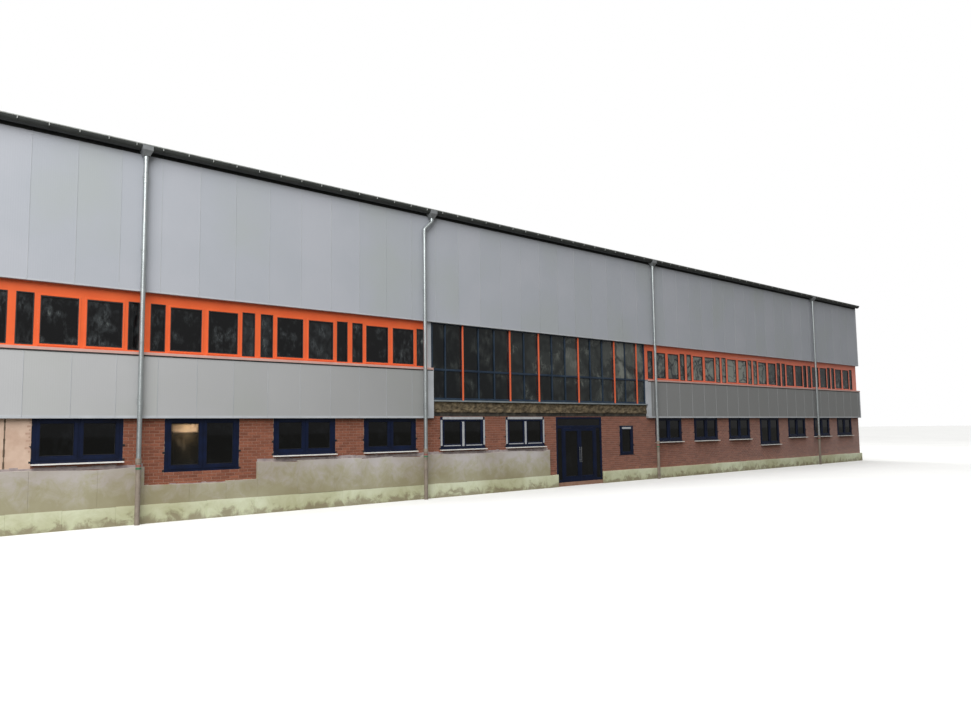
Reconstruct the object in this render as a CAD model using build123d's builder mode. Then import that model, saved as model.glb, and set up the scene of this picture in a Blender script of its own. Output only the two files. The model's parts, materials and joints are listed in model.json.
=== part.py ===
from build123d import *

import os
from math import radians, tan

# Two-storey industrial building, modelled at 1:2. All sizes are millimetres of the model,
# so one real metre is 500 here. The frame has its origin on the ground at the centre of the
# plan, +X along the front to the right, -Y out of the front and +Z up.

# Plan: window units repeat along every side
unit = 1500.0  # real 3.0 m
wing_units = 7
centre_units = 4
gable_units = 6
end_strip = 250.0  # from the last unit to the corner of the wall
wing_return = 65.0  # how far each wing's cladding runs past the last unit towards the centre

# Storeys, from the ground up
floor_top = 75.0
ground_storey = 1420.0
slab_thickness = 180.0
parapet_height = 560.0
ribbon_height = 800.0
upper_wall_height = 1785.0  # from the ribbon windows to the roof at the cladding's face
cladding_drop = 95.0  # lower cladding below the underside of the slab
cladding_lap = 20.0  # upper cladding below the head of the ribbon windows
fascia_lap = 20.0  # fascia below the underside of the roof
beam_drop = 250.0  # underside of the roof beams below the eaves

# Thicknesses
brick_wall = 180.0
upper_wall = 120.0
cladding = 65.0
roof_panel = 75.0
sheet = 4.0  # every folded metal trim
lap_gap = 2.0  # between trims that meet at a corner
roof_pitch = 5.0  # degrees

# Ribbon windows: each unit is narrow, wide, wide, narrow
narrow_pane = 165.0
unit_post = 106.0
centre_post = 110.0
side_post = 85.0
narrow_foot_rail = 30.0
narrow_head_rail = 163.0
wide_foot_rail = 50.0
wide_head_rail = 189.0
ribbon_depth = 40.0
pane_thickness = 12.0

# Folded trims
sill_lip = 34.0
sill_overhang = 10.0
drip_lip = 29.0
head_lip = 14.5
corner_leg = 60.0
centre_leg = 115.0
verge_drop = 20.0
ridge_half_width = 150.0

# Ground-floor windows
window_pier = 500.0
window_lintel = 70.0
window_height = 560.0
tall_window_height = 725.0
tall_window_units = (4, 14)  # counted from the left end of the front
sill_board = 15.0
sill_projection = 70.0
window_border = 85.0
window_mullion = 100.0
window_depth = 40.0
slim_window_shift = -20.0  # from the middle of its unit
slim_window_width = 460.0
slim_window_height = 635.0
slim_window_lintel = 260.0

# Entrance set in the brick wall
entrance_pier = 150.0
entrance_member = 40.0
door_leaf = 460.0
door_height = 1050.0
door_gap = 4.0
door_rail = 50.0
door_foot_rail = 100.0

# Glazed centre
modules_per_unit = 4
curtain_depth = 75.0
curtain_mullion = 25.0
curtain_rail = 40.0
transom_height = 540.0  # above the slab
ledge_height = 25.0
ledge_projection = 60.0
fin_width = 40.0
fin_projection = 50.0
fin_lines = (2, 5, 7, 10, 13, 15)  # mullions that carry a fin, from the left

# Insulation boards at the foot of the walls
board = 50.0
green_board_top = 240.0
grey_board_top = 720.0
grey_board_low_top = 485.0
grey_board_gap = 225.0  # from the entrance
low_board_unit = 4  # under a tall window, which has no sill board

# Structure of the upper hall
bay_units = 2
column = 150.0
beam_width = 100.0

# Rainwater goods; round pieces are drawn with flats
pipe_sides = 12
gutter_sides = 24
gutter_radius = 62.5
gutter_rise = 72.0  # rim above the underside of the roof
gutter_sheet = 3.0
gutter_bead = 5.0
pipe_radius = 30.0
pipe_wall = 3.0
pipe_foot = 790.0
standpipe_radius = 31.0
socket_radius = 37.0
socket_height = 60.0
fit_gap = 0.3
hopper_width = 130.0
hopper_projection = 15.5  # in front of the gutter
hopper_foot = 68.0
neck_shift = 155.0
neck_drop = 150.0
neck_bend = 60.0
clip_width = 60.0
clip_height = 14.0
clip_spacing = 950.0
clip_count = 4
pipe_lines = ((-8, -100.0), (-5, -100.0), (-2, -150.0), (2, 150.0), (7, 275.0))  # unit line, offset
swan_pipe = 2  # the front pipe that is set aside from its outlet

# Levels that follow from the storeys
slab_bottom = ground_storey
slab_top = slab_bottom + slab_thickness
ribbon_bottom = slab_top + parapet_height
ribbon_top = ribbon_bottom + ribbon_height
eaves_underside = ribbon_top + upper_wall_height
lower_cladding_bottom = slab_bottom - cladding_drop
upper_cladding_bottom = ribbon_top - cladding_lap
fascia_bottom = eaves_underside - fascia_lap
beam_underside = eaves_underside - beam_drop
gutter_rim = eaves_underside + gutter_rise
window_head = slab_bottom - window_lintel
window_sill = window_head - window_height
tall_window_sill = window_head - tall_window_height
slim_window_head = slab_bottom - slim_window_lintel
slim_window_sill = slim_window_head - slim_window_height
door_head = floor_top + door_height

# Sizes that follow from the plan
half_units = wing_units + centre_units // 2
half_length = half_units * unit + end_strip
half_depth = gable_units * unit / 2 + end_strip
centre_edge = centre_units * unit / 2 - wing_return
clad_x = half_length + cladding
clad_y = half_depth + cladding
gutter_y = clad_y + sheet + gutter_radius
wide_pane = (unit - centre_post - unit_post) / 2 - side_post - narrow_pane
window_width = unit - window_pier
entrance_width = unit - entrance_pier
slope = tan(radians(roof_pitch))

# Elevation planes: local x runs to the right as seen from outside, local y is up,
# and the normal points out of the building
front = Plane(origin=(0, -half_depth, 0), x_dir=(1, 0, 0), z_dir=(0, -1, 0))
rear = Plane(origin=(0, half_depth, 0), x_dir=(-1, 0, 0), z_dir=(0, 1, 0))
left = Plane(origin=(-half_length, 0, 0), x_dir=(0, -1, 0), z_dir=(-1, 0, 0))
right = Plane(origin=(half_length, 0, 0), x_dir=(0, 1, 0), z_dir=(1, 0, 0))
gables = (left, right)
long_sides = (front, rear)

os.makedirs("parts", exist_ok=True)


def roof_underside(y):
    return eaves_underside + (clad_y - abs(y)) * slope


def span(x0, x1, z0, z1, mode=Mode.ADD):
    """A rectangle between two x and two z values of the current sketch."""
    with Locations(((x0 + x1) / 2, (z0 + z1) / 2)):
        Rectangle(x1 - x0, z1 - z0, mode=mode)


def unit_centres(count):
    return [(i + 0.5 - count / 2) * unit for i in range(count)]


def round_section(radius, mode=Mode.ADD):
    RegularPolygon(radius, pipe_sides, mode=mode)


def ribbon_panes(centres):
    """Edges of the four panes of each unit: narrow, wide, wide, narrow."""
    wide_sill = ribbon_bottom + wide_foot_rail
    wide_head = ribbon_top - wide_head_rail
    narrow_sill = ribbon_bottom + narrow_foot_rail
    narrow_head = ribbon_top - narrow_head_rail
    panes = []
    for x in centres:
        for side in (-1, 1):
            wide = x + side * (centre_post + wide_pane) / 2
            narrow = x + side * (centre_post / 2 + wide_pane + side_post + narrow_pane / 2)
            panes.append((wide - wide_pane / 2, wide + wide_pane / 2, wide_sill, wide_head))
            panes.append((narrow - narrow_pane / 2, narrow + narrow_pane / 2, narrow_sill, narrow_head))
    return panes


def gable_outline(half_width, bottom):
    """Pentagon of a gable, from a level line up to the underside of the roof."""
    eaves = roof_underside(half_width)
    Polygon((-half_width, bottom), (half_width, bottom), (half_width, eaves),
            (0, roof_underside(0)), (-half_width, eaves), align=None)


# Unit centres, counted from the left end of each side
long_centres = unit_centres(2 * half_units)
gable_centres = unit_centres(gable_units)
left_wing_centres = long_centres[:wing_units]
right_wing_centres = long_centres[wing_units + centre_units:]
entrance_unit = half_units
slim_window_unit = entrance_unit + 1
entrance_centre = long_centres[entrance_unit]

# Ground-floor windows as (centre, width, sill, head, has a sill board)
front_windows = []
for index, x in enumerate(long_centres):
    if index == slim_window_unit:
        front_windows.append((x + slim_window_shift, slim_window_width,
                              slim_window_sill, slim_window_head, False))
    elif index in tall_window_units:
        front_windows.append((x, window_width, tall_window_sill, window_head, index != low_board_unit))
    elif index != entrance_unit:
        front_windows.append((x, window_width, window_sill, window_head, True))
rear_windows = [(x, window_width, window_sill, window_head, True) for x in long_centres]
gable_windows = [(x, window_width, window_sill, window_head, True) for x in gable_centres]
windows_on = ((front, front_windows), (rear, rear_windows),
              (left, gable_windows), (right, gable_windows))


def cut_windows(windows):
    for x, width, sill, head, has_board in windows:
        board_room = sill_board if has_board else 0
        span(x - width / 2, x + width / 2, sill - board_room, head, mode=Mode.SUBTRACT)


# Ground floor slab, between the brick walls
with BuildPart() as ground_floor_slab:
    with BuildSketch():
        Rectangle(2 * (half_length - brick_wall), 2 * (half_depth - brick_wall))
    extrude(amount=floor_top)
ground_floor_slab.part.label = "ground_floor_slab"
export_step(ground_floor_slab.part, "parts/ground_floor_slab.step")

# Upper floor slab, laid over the brick walls; its edge is open to view under the glazed centre
with BuildPart() as upper_floor_slab:
    with BuildSketch(Plane.XY.offset(slab_bottom)):
        Rectangle(2 * half_length, 2 * half_depth)
    extrude(amount=slab_top - slab_bottom)
upper_floor_slab.part.label = "upper_floor_slab"
export_step(upper_floor_slab.part, "parts/upper_floor_slab.step")

# Brick front wall with its windows and the entrance cut through
with BuildPart() as front_wall:
    with BuildSketch(front):
        span(-half_length, half_length, 0, slab_bottom)
        cut_windows(front_windows)
        span(entrance_centre - entrance_width / 2, entrance_centre + entrance_width / 2,
             floor_top, window_head, mode=Mode.SUBTRACT)
    extrude(amount=-brick_wall)
front_wall.part.label = "front_wall"
export_step(front_wall.part, "parts/front_wall.step")

# Brick rear wall
with BuildPart() as rear_wall:
    with BuildSketch(rear):
        span(-half_length, half_length, 0, slab_bottom)
        cut_windows(rear_windows)
    extrude(amount=-brick_wall)
rear_wall.part.label = "rear_wall"
export_step(rear_wall.part, "parts/rear_wall.step")

# Brick gable walls, between the long walls
with BuildPart() as gable_walls:
    for plane in gables:
        with BuildSketch(plane):
            span(brick_wall - half_depth, half_depth - brick_wall, 0, slab_bottom)
            cut_windows(gable_windows)
        extrude(amount=-brick_wall)
gable_walls.part.label = "gable_walls"
export_step(gable_walls.part, "parts/gable_walls.step")

# Parapet walls of the upper floor, below the ribbon windows
with BuildPart() as long_side_parapets:
    with BuildSketch(front):
        span(-half_length, -centre_edge, slab_top, ribbon_bottom)
        span(centre_edge, half_length, slab_top, ribbon_bottom)
    extrude(amount=-upper_wall)
    with BuildSketch(rear):
        span(-half_length, half_length, slab_top, ribbon_bottom)
    extrude(amount=-upper_wall)
long_side_parapets.part.label = "long_side_parapets"
export_step(long_side_parapets.part, "parts/long_side_parapets.step")

with BuildPart() as gable_parapets:
    for plane in gables:
        with BuildSketch(plane):
            span(upper_wall - half_depth, half_depth - upper_wall, slab_top, ribbon_bottom)
        extrude(amount=-upper_wall)
gable_parapets.part.label = "gable_parapets"
export_step(gable_parapets.part, "parts/gable_parapets.step")

# Walls above the ribbon windows; their tops follow the roof
with BuildPart() as long_side_upper_walls:
    with BuildSketch(Plane.YZ):
        for side in (-1, 1):
            outer = side * half_depth
            inner = side * (half_depth - upper_wall)
            Polygon((outer, ribbon_top), (inner, ribbon_top), (inner, roof_underside(inner)),
                    (outer, roof_underside(outer)), align=None)
    extrude(amount=half_length, both=True)
long_side_upper_walls.part.label = "long_side_upper_walls"
export_step(long_side_upper_walls.part, "parts/long_side_upper_walls.step")

with BuildPart() as gable_upper_walls:
    for plane in gables:
        with BuildSketch(plane):
            gable_outline(half_depth - upper_wall, ribbon_top)
        extrude(amount=-upper_wall)
gable_upper_walls.part.label = "gable_upper_walls"
export_step(gable_upper_walls.part, "parts/gable_upper_walls.step")

# Columns on the upper floor, one pair to each bay, against the long walls
half_bays = half_units // bay_units
bay_lines = [i * bay_units * unit for i in range(-half_bays, half_bays + 1)]
with BuildPart() as columns:
    with BuildSketch(Plane.XY.offset(slab_top)):
        for side in (-1, 1):
            column_y = side * (half_depth - upper_wall - column / 2)
            with Locations(*[(x, column_y) for x in bay_lines]):
                Rectangle(column, column)
    extrude(amount=beam_underside - slab_top)
columns.part.label = "columns"
export_step(columns.part, "parts/columns.step")

# Pitched roof beams with level undersides, from column to column
with BuildPart() as roof_beams:
    for x in bay_lines:
        with BuildSketch(Plane.YZ.offset(x - beam_width / 2)):
            gable_outline(half_depth - upper_wall, beam_underside)
        extrude(amount=beam_width)
roof_beams.part.label = "roof_beams"
export_step(roof_beams.part, "parts/roof_beams.step")

# Lower band of wall cladding, on the wings only at the front
with BuildPart() as lower_cladding_front:
    with BuildSketch(front):
        span(-clad_x, -centre_edge, lower_cladding_bottom, ribbon_bottom - sheet)
        span(centre_edge, clad_x, lower_cladding_bottom, ribbon_bottom - sheet)
    extrude(amount=cladding)
lower_cladding_front.part.label = "lower_cladding_front"
export_step(lower_cladding_front.part, "parts/lower_cladding_front.step")

with BuildPart() as lower_cladding_rear:
    with BuildSketch(rear):
        span(-clad_x, clad_x, lower_cladding_bottom, ribbon_bottom - sheet)
    extrude(amount=cladding)
lower_cladding_rear.part.label = "lower_cladding_rear"
export_step(lower_cladding_rear.part, "parts/lower_cladding_rear.step")

with BuildPart() as lower_cladding_gables:
    for plane in gables:
        with BuildSketch(plane):
            span(-half_depth, half_depth, lower_cladding_bottom, ribbon_bottom - sheet)
        extrude(amount=cladding)
lower_cladding_gables.part.label = "lower_cladding_gables"
export_step(lower_cladding_gables.part, "parts/lower_cladding_gables.step")


def long_upper_cladding(side):
    """Profile of the upper cladding on one long side; its top follows the roof."""
    inner = side * half_depth
    outer = side * clad_y
    Polygon((inner, upper_cladding_bottom), (outer, upper_cladding_bottom), (outer, eaves_underside),
            (inner, roof_underside(inner)), align=None)


# Upper band of wall cladding, right across each side
with BuildPart() as upper_cladding_front:
    with BuildSketch(Plane.YZ):
        long_upper_cladding(-1)
    extrude(amount=clad_x, both=True)
upper_cladding_front.part.label = "upper_cladding_front"
export_step(upper_cladding_front.part, "parts/upper_cladding_front.step")

with BuildPart() as upper_cladding_rear:
    with BuildSketch(Plane.YZ):
        long_upper_cladding(1)
    extrude(amount=clad_x, both=True)
upper_cladding_rear.part.label = "upper_cladding_rear"
export_step(upper_cladding_rear.part, "parts/upper_cladding_rear.step")

with BuildPart() as upper_cladding_gables:
    for plane in gables:
        with BuildSketch(plane):
            gable_outline(half_depth, upper_cladding_bottom)
        extrude(amount=cladding)
upper_cladding_gables.part.label = "upper_cladding_gables"
export_step(upper_cladding_gables.part, "parts/upper_cladding_gables.step")

# Ribbon window frames, one lattice to each run of windows
with BuildPart() as ribbon_frames_front:
    with BuildSketch(front):
        span(-half_length, -centre_edge, ribbon_bottom, ribbon_top)
        span(centre_edge, half_length, ribbon_bottom, ribbon_top)
        for pane in ribbon_panes(left_wing_centres + right_wing_centres):
            span(*pane, mode=Mode.SUBTRACT)
    extrude(amount=-ribbon_depth)
ribbon_frames_front.part.label = "ribbon_frames_front"
export_step(ribbon_frames_front.part, "parts/ribbon_frames_front.step")

with BuildPart() as ribbon_frame_rear:
    with BuildSketch(rear):
        span(-half_length, half_length, ribbon_bottom, ribbon_top)
        for pane in ribbon_panes(long_centres):
            span(*pane, mode=Mode.SUBTRACT)
    extrude(amount=-ribbon_depth)
ribbon_frame_rear.part.label = "ribbon_frame_rear"
export_step(ribbon_frame_rear.part, "parts/ribbon_frame_rear.step")

with BuildPart() as ribbon_frames_gables:
    for plane in gables:
        with BuildSketch(plane):
            span(ribbon_depth - half_depth, half_depth - ribbon_depth, ribbon_bottom, ribbon_top)
            for pane in ribbon_panes(gable_centres):
                span(*pane, mode=Mode.SUBTRACT)
        extrude(amount=-ribbon_depth)
ribbon_frames_gables.part.label = "ribbon_frames_gables"
export_step(ribbon_frames_gables.part, "parts/ribbon_frames_gables.step")

# Panes of the ribbon windows, halfway into their frames
pane_inset = (ribbon_depth + pane_thickness) / 2
ribbon_runs = ((front, left_wing_centres + right_wing_centres), (rear, long_centres),
               (left, gable_centres), (right, gable_centres))
with BuildPart() as ribbon_glass:
    for plane, centres in ribbon_runs:
        with BuildSketch(plane.offset(-pane_inset)):
            for pane in ribbon_panes(centres):
                span(*pane)
        extrude(amount=pane_thickness)
ribbon_glass.part.label = "ribbon_glass"
export_step(ribbon_glass.part, "parts/ribbon_glass.step")

# Folded sills between the ribbon windows and the lower cladding
sill_face = cladding + sill_overhang
sill_end = half_length + sill_face
gable_trim_end = half_depth - lap_gap
sill_runs = ((front, -sill_end, -centre_edge), (front, centre_edge, sill_end), (rear, -sill_end, sill_end),
             (left, -gable_trim_end, gable_trim_end), (right, -gable_trim_end, gable_trim_end))
with BuildPart() as ribbon_sills:
    for plane, x0, x1 in sill_runs:
        with BuildSketch(plane):
            span(x0, x1, ribbon_bottom - sheet, ribbon_bottom)
        extrude(amount=sill_face)
        with BuildSketch(plane.offset(sill_face - sheet)):
            span(x0, x1, ribbon_bottom - sill_lip, ribbon_bottom - sheet)
        extrude(amount=sheet)
ribbon_sills.part.label = "ribbon_sills"
export_step(ribbon_sills.part, "parts/ribbon_sills.step")


def closing_trims(level, lip, runs):
    """Folded trims under a band of cladding, turned up over its face."""
    with BuildPart() as trims:
        for plane, x0, x1 in runs:
            with BuildSketch(plane):
                span(x0, x1, level - sheet, level)
            extrude(amount=cladding + sheet)
            with BuildSketch(plane.offset(cladding)):
                span(x0, x1, level, level + lip)
            extrude(amount=sheet)
    return trims.part


trim_end = clad_x + sheet
gable_runs = ((left, -gable_trim_end, gable_trim_end), (right, -gable_trim_end, gable_trim_end))
lower_runs = ((front, -trim_end, -centre_edge), (front, centre_edge, trim_end),
              (rear, -trim_end, trim_end)) + gable_runs
upper_runs = ((front, -trim_end, trim_end), (rear, -trim_end, trim_end)) + gable_runs

# Drip trims under the lower cladding
with BuildPart() as drip_trims:
    add(closing_trims(lower_cladding_bottom, drip_lip, lower_runs))
drip_trims.part.label = "drip_trims"
export_step(drip_trims.part, "parts/drip_trims.step")

# Head trims under the upper cladding
with BuildPart() as head_trims:
    add(closing_trims(upper_cladding_bottom, head_lip, upper_runs))
head_trims.part.label = "head_trims"
export_step(head_trims.part, "parts/head_trims.step")

# Vertical trims at the building's corners and at the ends of the lower cladding by the centre
lower_trim_foot = lower_cladding_bottom + drip_lip
lower_trim_top = ribbon_bottom - sill_lip
upper_trim_foot = upper_cladding_bottom + head_lip
with BuildPart() as corner_trims:
    for foot, top in ((lower_trim_foot, lower_trim_top), (upper_trim_foot, fascia_bottom - lap_gap)):
        with BuildSketch(Plane.XY.offset(foot)):
            Rectangle(2 * trim_end, 2 * (clad_y + sheet))
            Rectangle(2 * clad_x, 2 * clad_y, mode=Mode.SUBTRACT)
            Rectangle(2 * (clad_x - corner_leg), 2 * (clad_y + sheet), mode=Mode.SUBTRACT)
            Rectangle(2 * trim_end, 2 * (clad_y - corner_leg), mode=Mode.SUBTRACT)
        extrude(amount=top - foot)
    with BuildSketch(Plane.XY.offset(lower_trim_foot)):
        for side in (-1, 1):
            end = side * centre_edge
            outer = side * (centre_edge - sheet)
            leg = side * (centre_edge + centre_leg)
            Polygon((outer, -half_depth), (outer, -clad_y - sheet), (leg, -clad_y - sheet),
                    (leg, -clad_y), (end, -clad_y), (end, -half_depth), align=None)
    extrude(amount=lower_trim_top - lower_trim_foot)
corner_trims.part.label = "corner_trims"
export_step(corner_trims.part, "parts/corner_trims.step")

# Glazed centre: ledge, frame lattice, glass and fins
curtain_foot = slab_top + ledge_height
with BuildPart() as curtain_wall_ledge:
    with BuildSketch(front.offset(ledge_projection)):
        span(sheet - centre_edge, centre_edge - sheet, slab_top, curtain_foot)
    extrude(amount=-ledge_projection - curtain_depth)
curtain_wall_ledge.part.label = "curtain_wall_ledge"
export_step(curtain_wall_ledge.part, "parts/curtain_wall_ledge.step")

curtain_transom = slab_top + transom_height
curtain_module = unit / modules_per_unit
module_count = centre_units * modules_per_unit
mullion_lines = [(i - module_count / 2) * curtain_module for i in range(1, module_count)]
column_edges = [-centre_edge + curtain_rail / 2] + mullion_lines + [centre_edge - curtain_rail / 2]
row_edges = [(curtain_foot + curtain_rail, curtain_transom - curtain_rail / 2),
             (curtain_transom + curtain_rail / 2, ribbon_top - curtain_rail)]
curtain_panes = []
for start, end in zip(column_edges, column_edges[1:]):
    start_half = curtain_rail / 2 if start == column_edges[0] else curtain_mullion / 2
    end_half = curtain_rail / 2 if end == column_edges[-1] else curtain_mullion / 2
    for low, high in row_edges:
        curtain_panes.append((start + start_half, end - end_half, low, high))

with BuildPart() as curtain_wall_frame:
    with BuildSketch(front):
        span(-centre_edge, centre_edge, curtain_foot, ribbon_top)
        for pane in curtain_panes:
            span(*pane, mode=Mode.SUBTRACT)
    extrude(amount=-curtain_depth)
curtain_wall_frame.part.label = "curtain_wall_frame"
export_step(curtain_wall_frame.part, "parts/curtain_wall_frame.step")

with BuildPart() as curtain_wall_glass:
    with BuildSketch(front.offset(-pane_inset)):
        for pane in curtain_panes:
            span(*pane)
    extrude(amount=pane_thickness)
curtain_wall_glass.part.label = "curtain_wall_glass"
export_step(curtain_wall_glass.part, "parts/curtain_wall_glass.step")

with BuildPart() as curtain_wall_fins:
    with BuildSketch(front):
        for line in fin_lines:
            x = mullion_lines[line - 1]
            span(x - fin_width / 2, x + fin_width / 2, curtain_foot, upper_cladding_bottom - sheet)
    extrude(amount=fin_projection)
curtain_wall_fins.part.label = "curtain_wall_fins"
export_step(curtain_wall_fins.part, "parts/curtain_wall_fins.step")


def window_panes(x, width, sill, head):
    """Two panes beside a mullion, or one pane in a slim window."""
    x0 = x - width / 2 + window_border
    x1 = x + width / 2 - window_border
    z0 = sill + window_border
    z1 = head - window_border
    if width < window_width:
        return [(x0, x1, z0, z1)]
    return [(x0, x - window_mullion / 2, z0, z1), (x + window_mullion / 2, x1, z0, z1)]


# Ground-floor window frames, glass and sill boards
with BuildPart() as ground_window_frames:
    for plane, windows in windows_on:
        with BuildSketch(plane):
            for x, width, sill, head, has_board in windows:
                span(x - width / 2, x + width / 2, sill, head)
                for pane in window_panes(x, width, sill, head):
                    span(*pane, mode=Mode.SUBTRACT)
        extrude(amount=-window_depth)
ground_window_frames.part.label = "ground_window_frames"
export_step(ground_window_frames.part, "parts/ground_window_frames.step")

with BuildPart() as ground_window_glass:
    for plane, windows in windows_on:
        with BuildSketch(plane.offset(-pane_inset)):
            for x, width, sill, head, has_board in windows:
                for pane in window_panes(x, width, sill, head):
                    span(*pane)
        extrude(amount=pane_thickness)
ground_window_glass.part.label = "ground_window_glass"
export_step(ground_window_glass.part, "parts/ground_window_glass.step")

with BuildPart() as ground_window_sills:
    for plane, windows in windows_on:
        with BuildSketch(plane.offset(sill_projection)):
            for x, width, sill, head, has_board in windows:
                if has_board:
                    span(x - width / 2, x + width / 2, sill - sill_board, sill)
        extrude(amount=-window_depth - sill_projection)
ground_window_sills.part.label = "ground_window_sills"
export_step(ground_window_sills.part, "parts/ground_window_sills.step")

# Entrance: frame with side lights and a top light, two glazed leaves, and their glass
entrance_left = entrance_centre - entrance_width / 2
entrance_right = entrance_centre + entrance_width / 2
doors_left = entrance_centre - door_leaf
doors_right = entrance_centre + door_leaf
lights_left = entrance_left + entrance_member
lights_right = entrance_right - entrance_member
lights_sill = floor_top + entrance_member
entrance_lights = [
    (lights_left, doors_left - entrance_member, lights_sill, door_head),
    (doors_right + entrance_member, lights_right, lights_sill, door_head),
    (lights_left, lights_right, door_head + entrance_member, window_head - entrance_member)]
leaf_foot = floor_top + door_gap
leaf_top = door_head - door_gap
door_leaves = [(doors_left + fit_gap, entrance_centre - door_gap / 2, leaf_foot, leaf_top),
               (entrance_centre + door_gap / 2, doors_right - fit_gap, leaf_foot, leaf_top)]
leaf_panes = [(x0 + door_rail, x1 - door_rail, z0 + door_foot_rail, z1 - door_rail)
              for x0, x1, z0, z1 in door_leaves]

with BuildPart() as entrance_frame:
    with BuildSketch(front):
        span(entrance_left, entrance_right, floor_top, window_head)
        span(doors_left, doors_right, floor_top, door_head, mode=Mode.SUBTRACT)
        for pane in entrance_lights:
            span(*pane, mode=Mode.SUBTRACT)
    extrude(amount=-window_depth)
entrance_frame.part.label = "entrance_frame"
export_step(entrance_frame.part, "parts/entrance_frame.step")

with BuildPart() as entrance_doors:
    with BuildSketch(front):
        for leaf in door_leaves:
            span(*leaf)
        for pane in leaf_panes:
            span(*pane, mode=Mode.SUBTRACT)
    extrude(amount=-window_depth)
entrance_doors.part.label = "entrance_doors"
export_step(entrance_doors.part, "parts/entrance_doors.step")

with BuildPart() as entrance_glass:
    with BuildSketch(front.offset(-pane_inset)):
        for pane in entrance_lights + leaf_panes:
            span(*pane)
    extrude(amount=pane_thickness)
entrance_glass.part.label = "entrance_glass"
export_step(entrance_glass.part, "parts/entrance_glass.step")

# Insulation boards: a green course all round, and grey boards above it on the left of the front
with BuildPart() as green_plinth_boards:
    with BuildSketch(front):
        span(-half_length - board, entrance_left, 0, green_board_top)
        span(entrance_right, half_length + board, 0, green_board_top)
    extrude(amount=board)
    with BuildSketch(rear):
        span(-half_length - board, half_length + board, 0, green_board_top)
    extrude(amount=board)
    for plane in gables:
        with BuildSketch(plane):
            span(-gable_trim_end, gable_trim_end, 0, green_board_top)
        extrude(amount=board)
green_plinth_boards.part.label = "green_plinth_boards"
export_step(green_plinth_boards.part, "parts/green_plinth_boards.step")

low_board_centre = long_centres[low_board_unit]
with BuildPart() as grey_plinth_boards:
    with BuildSketch(front):
        span(-half_length, entrance_left - grey_board_gap, green_board_top, grey_board_top)
        span(low_board_centre - unit / 2, low_board_centre + unit / 2,
             grey_board_low_top, grey_board_top, mode=Mode.SUBTRACT)
    extrude(amount=board)
grey_plinth_boards.part.label = "grey_plinth_boards"
export_step(grey_plinth_boards.part, "parts/grey_plinth_boards.step")


def roof_slope(side):
    """Section of one slope of the roof, from the cladding's face to the ridge."""
    ridge = roof_underside(0)
    Polygon((side * clad_y, eaves_underside), (0, ridge), (0, ridge + roof_panel),
            (side * clad_y, eaves_underside + roof_panel), align=None)


# Roof slopes
with BuildPart() as roof_front:
    with BuildSketch(Plane.YZ):
        roof_slope(-1)
    extrude(amount=clad_x, both=True)
roof_front.part.label = "roof_front"
export_step(roof_front.part, "parts/roof_front.step")

with BuildPart() as roof_rear:
    with BuildSketch(Plane.YZ):
        roof_slope(1)
    extrude(amount=clad_x, both=True)
roof_rear.part.label = "roof_rear"
export_step(roof_rear.part, "parts/roof_rear.step")


def ridge_chevron(half_width, bottom_rise, top_rise):
    """A band over the ridge, between two heights above the underside of the roof."""
    edge = roof_underside(half_width)
    peak = roof_underside(0)
    Polygon((-half_width, edge + bottom_rise), (0, peak + bottom_rise), (half_width, edge + bottom_rise),
            (half_width, edge + top_rise), (0, peak + top_rise), (-half_width, edge + top_rise), align=None)


# Ridge cap and verge trims
with BuildPart() as ridge_cap:
    with BuildSketch(Plane.YZ):
        ridge_chevron(ridge_half_width, roof_panel, roof_panel + sheet)
    extrude(amount=clad_x, both=True)
ridge_cap.part.label = "ridge_cap"
export_step(ridge_cap.part, "parts/ridge_cap.step")

with BuildPart() as verge_trims:
    for side in (-1, 1):
        with BuildSketch(Plane.YZ.offset(side * clad_x)):
            ridge_chevron(clad_y + sheet, -verge_drop, roof_panel + sheet)
        extrude(amount=side * sheet)
verge_trims.part.label = "verge_trims"
export_step(verge_trims.part, "parts/verge_trims.step")

# Dark fascias over the top of the cladding and the edge of the roof
with BuildPart() as eaves_fascias:
    for plane in long_sides:
        with BuildSketch(plane.offset(cladding)):
            span(-clad_x, clad_x, fascia_bottom, eaves_underside + roof_panel)
        extrude(amount=sheet)
eaves_fascias.part.label = "eaves_fascias"
export_step(eaves_fascias.part, "parts/eaves_fascias.step")

# Outlets as (side of the building, x of the outlet, x of the downpipe)
outlets = []
for index, (line, offset) in enumerate(pipe_lines):
    pipe_x = line * unit + offset
    outlet_shift = neck_shift if index == swan_pipe else 0
    outlets.append((-1, pipe_x + outlet_shift, pipe_x))
    outlets.append((1, pipe_x, pipe_x))

# Half-round gutters with a bead along the front edge, end plates and a hole at each outlet
with BuildPart() as gutters:
    for side in (-1, 1):
        gutter_axis = (0, side * gutter_y, gutter_rim)
        gutter_plane = Plane(origin=gutter_axis, x_dir=(0, side, 0), z_dir=(side, 0, 0))
        with BuildSketch(gutter_plane.offset(-trim_end)):
            RegularPolygon(gutter_radius, gutter_sides)
            with Locations((0, gutter_radius)):
                Rectangle(2 * gutter_radius, 2 * gutter_radius, mode=Mode.SUBTRACT)
        extrude(amount=2 * trim_end)
        with BuildSketch(gutter_plane.offset(gutter_sheet - trim_end)):
            RegularPolygon(gutter_radius - gutter_sheet, gutter_sides)
        extrude(amount=2 * (trim_end - gutter_sheet), mode=Mode.SUBTRACT)
        with BuildSketch(gutter_plane.offset(-trim_end)):
            with Locations((gutter_radius - gutter_sheet / 2, 0)):
                round_section(gutter_bead)
        extrude(amount=2 * trim_end)
    for side, outlet_x, pipe_x in outlets:
        with BuildSketch(Plane.XY.offset(gutter_rim - 2 * gutter_radius)):
            with Locations((outlet_x, side * gutter_y)):
                round_section(pipe_radius - pipe_wall)
        extrude(amount=2 * gutter_radius, mode=Mode.SUBTRACT)
gutters.part.label = "gutters"
export_step(gutters.part, "parts/gutters.step")

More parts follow.
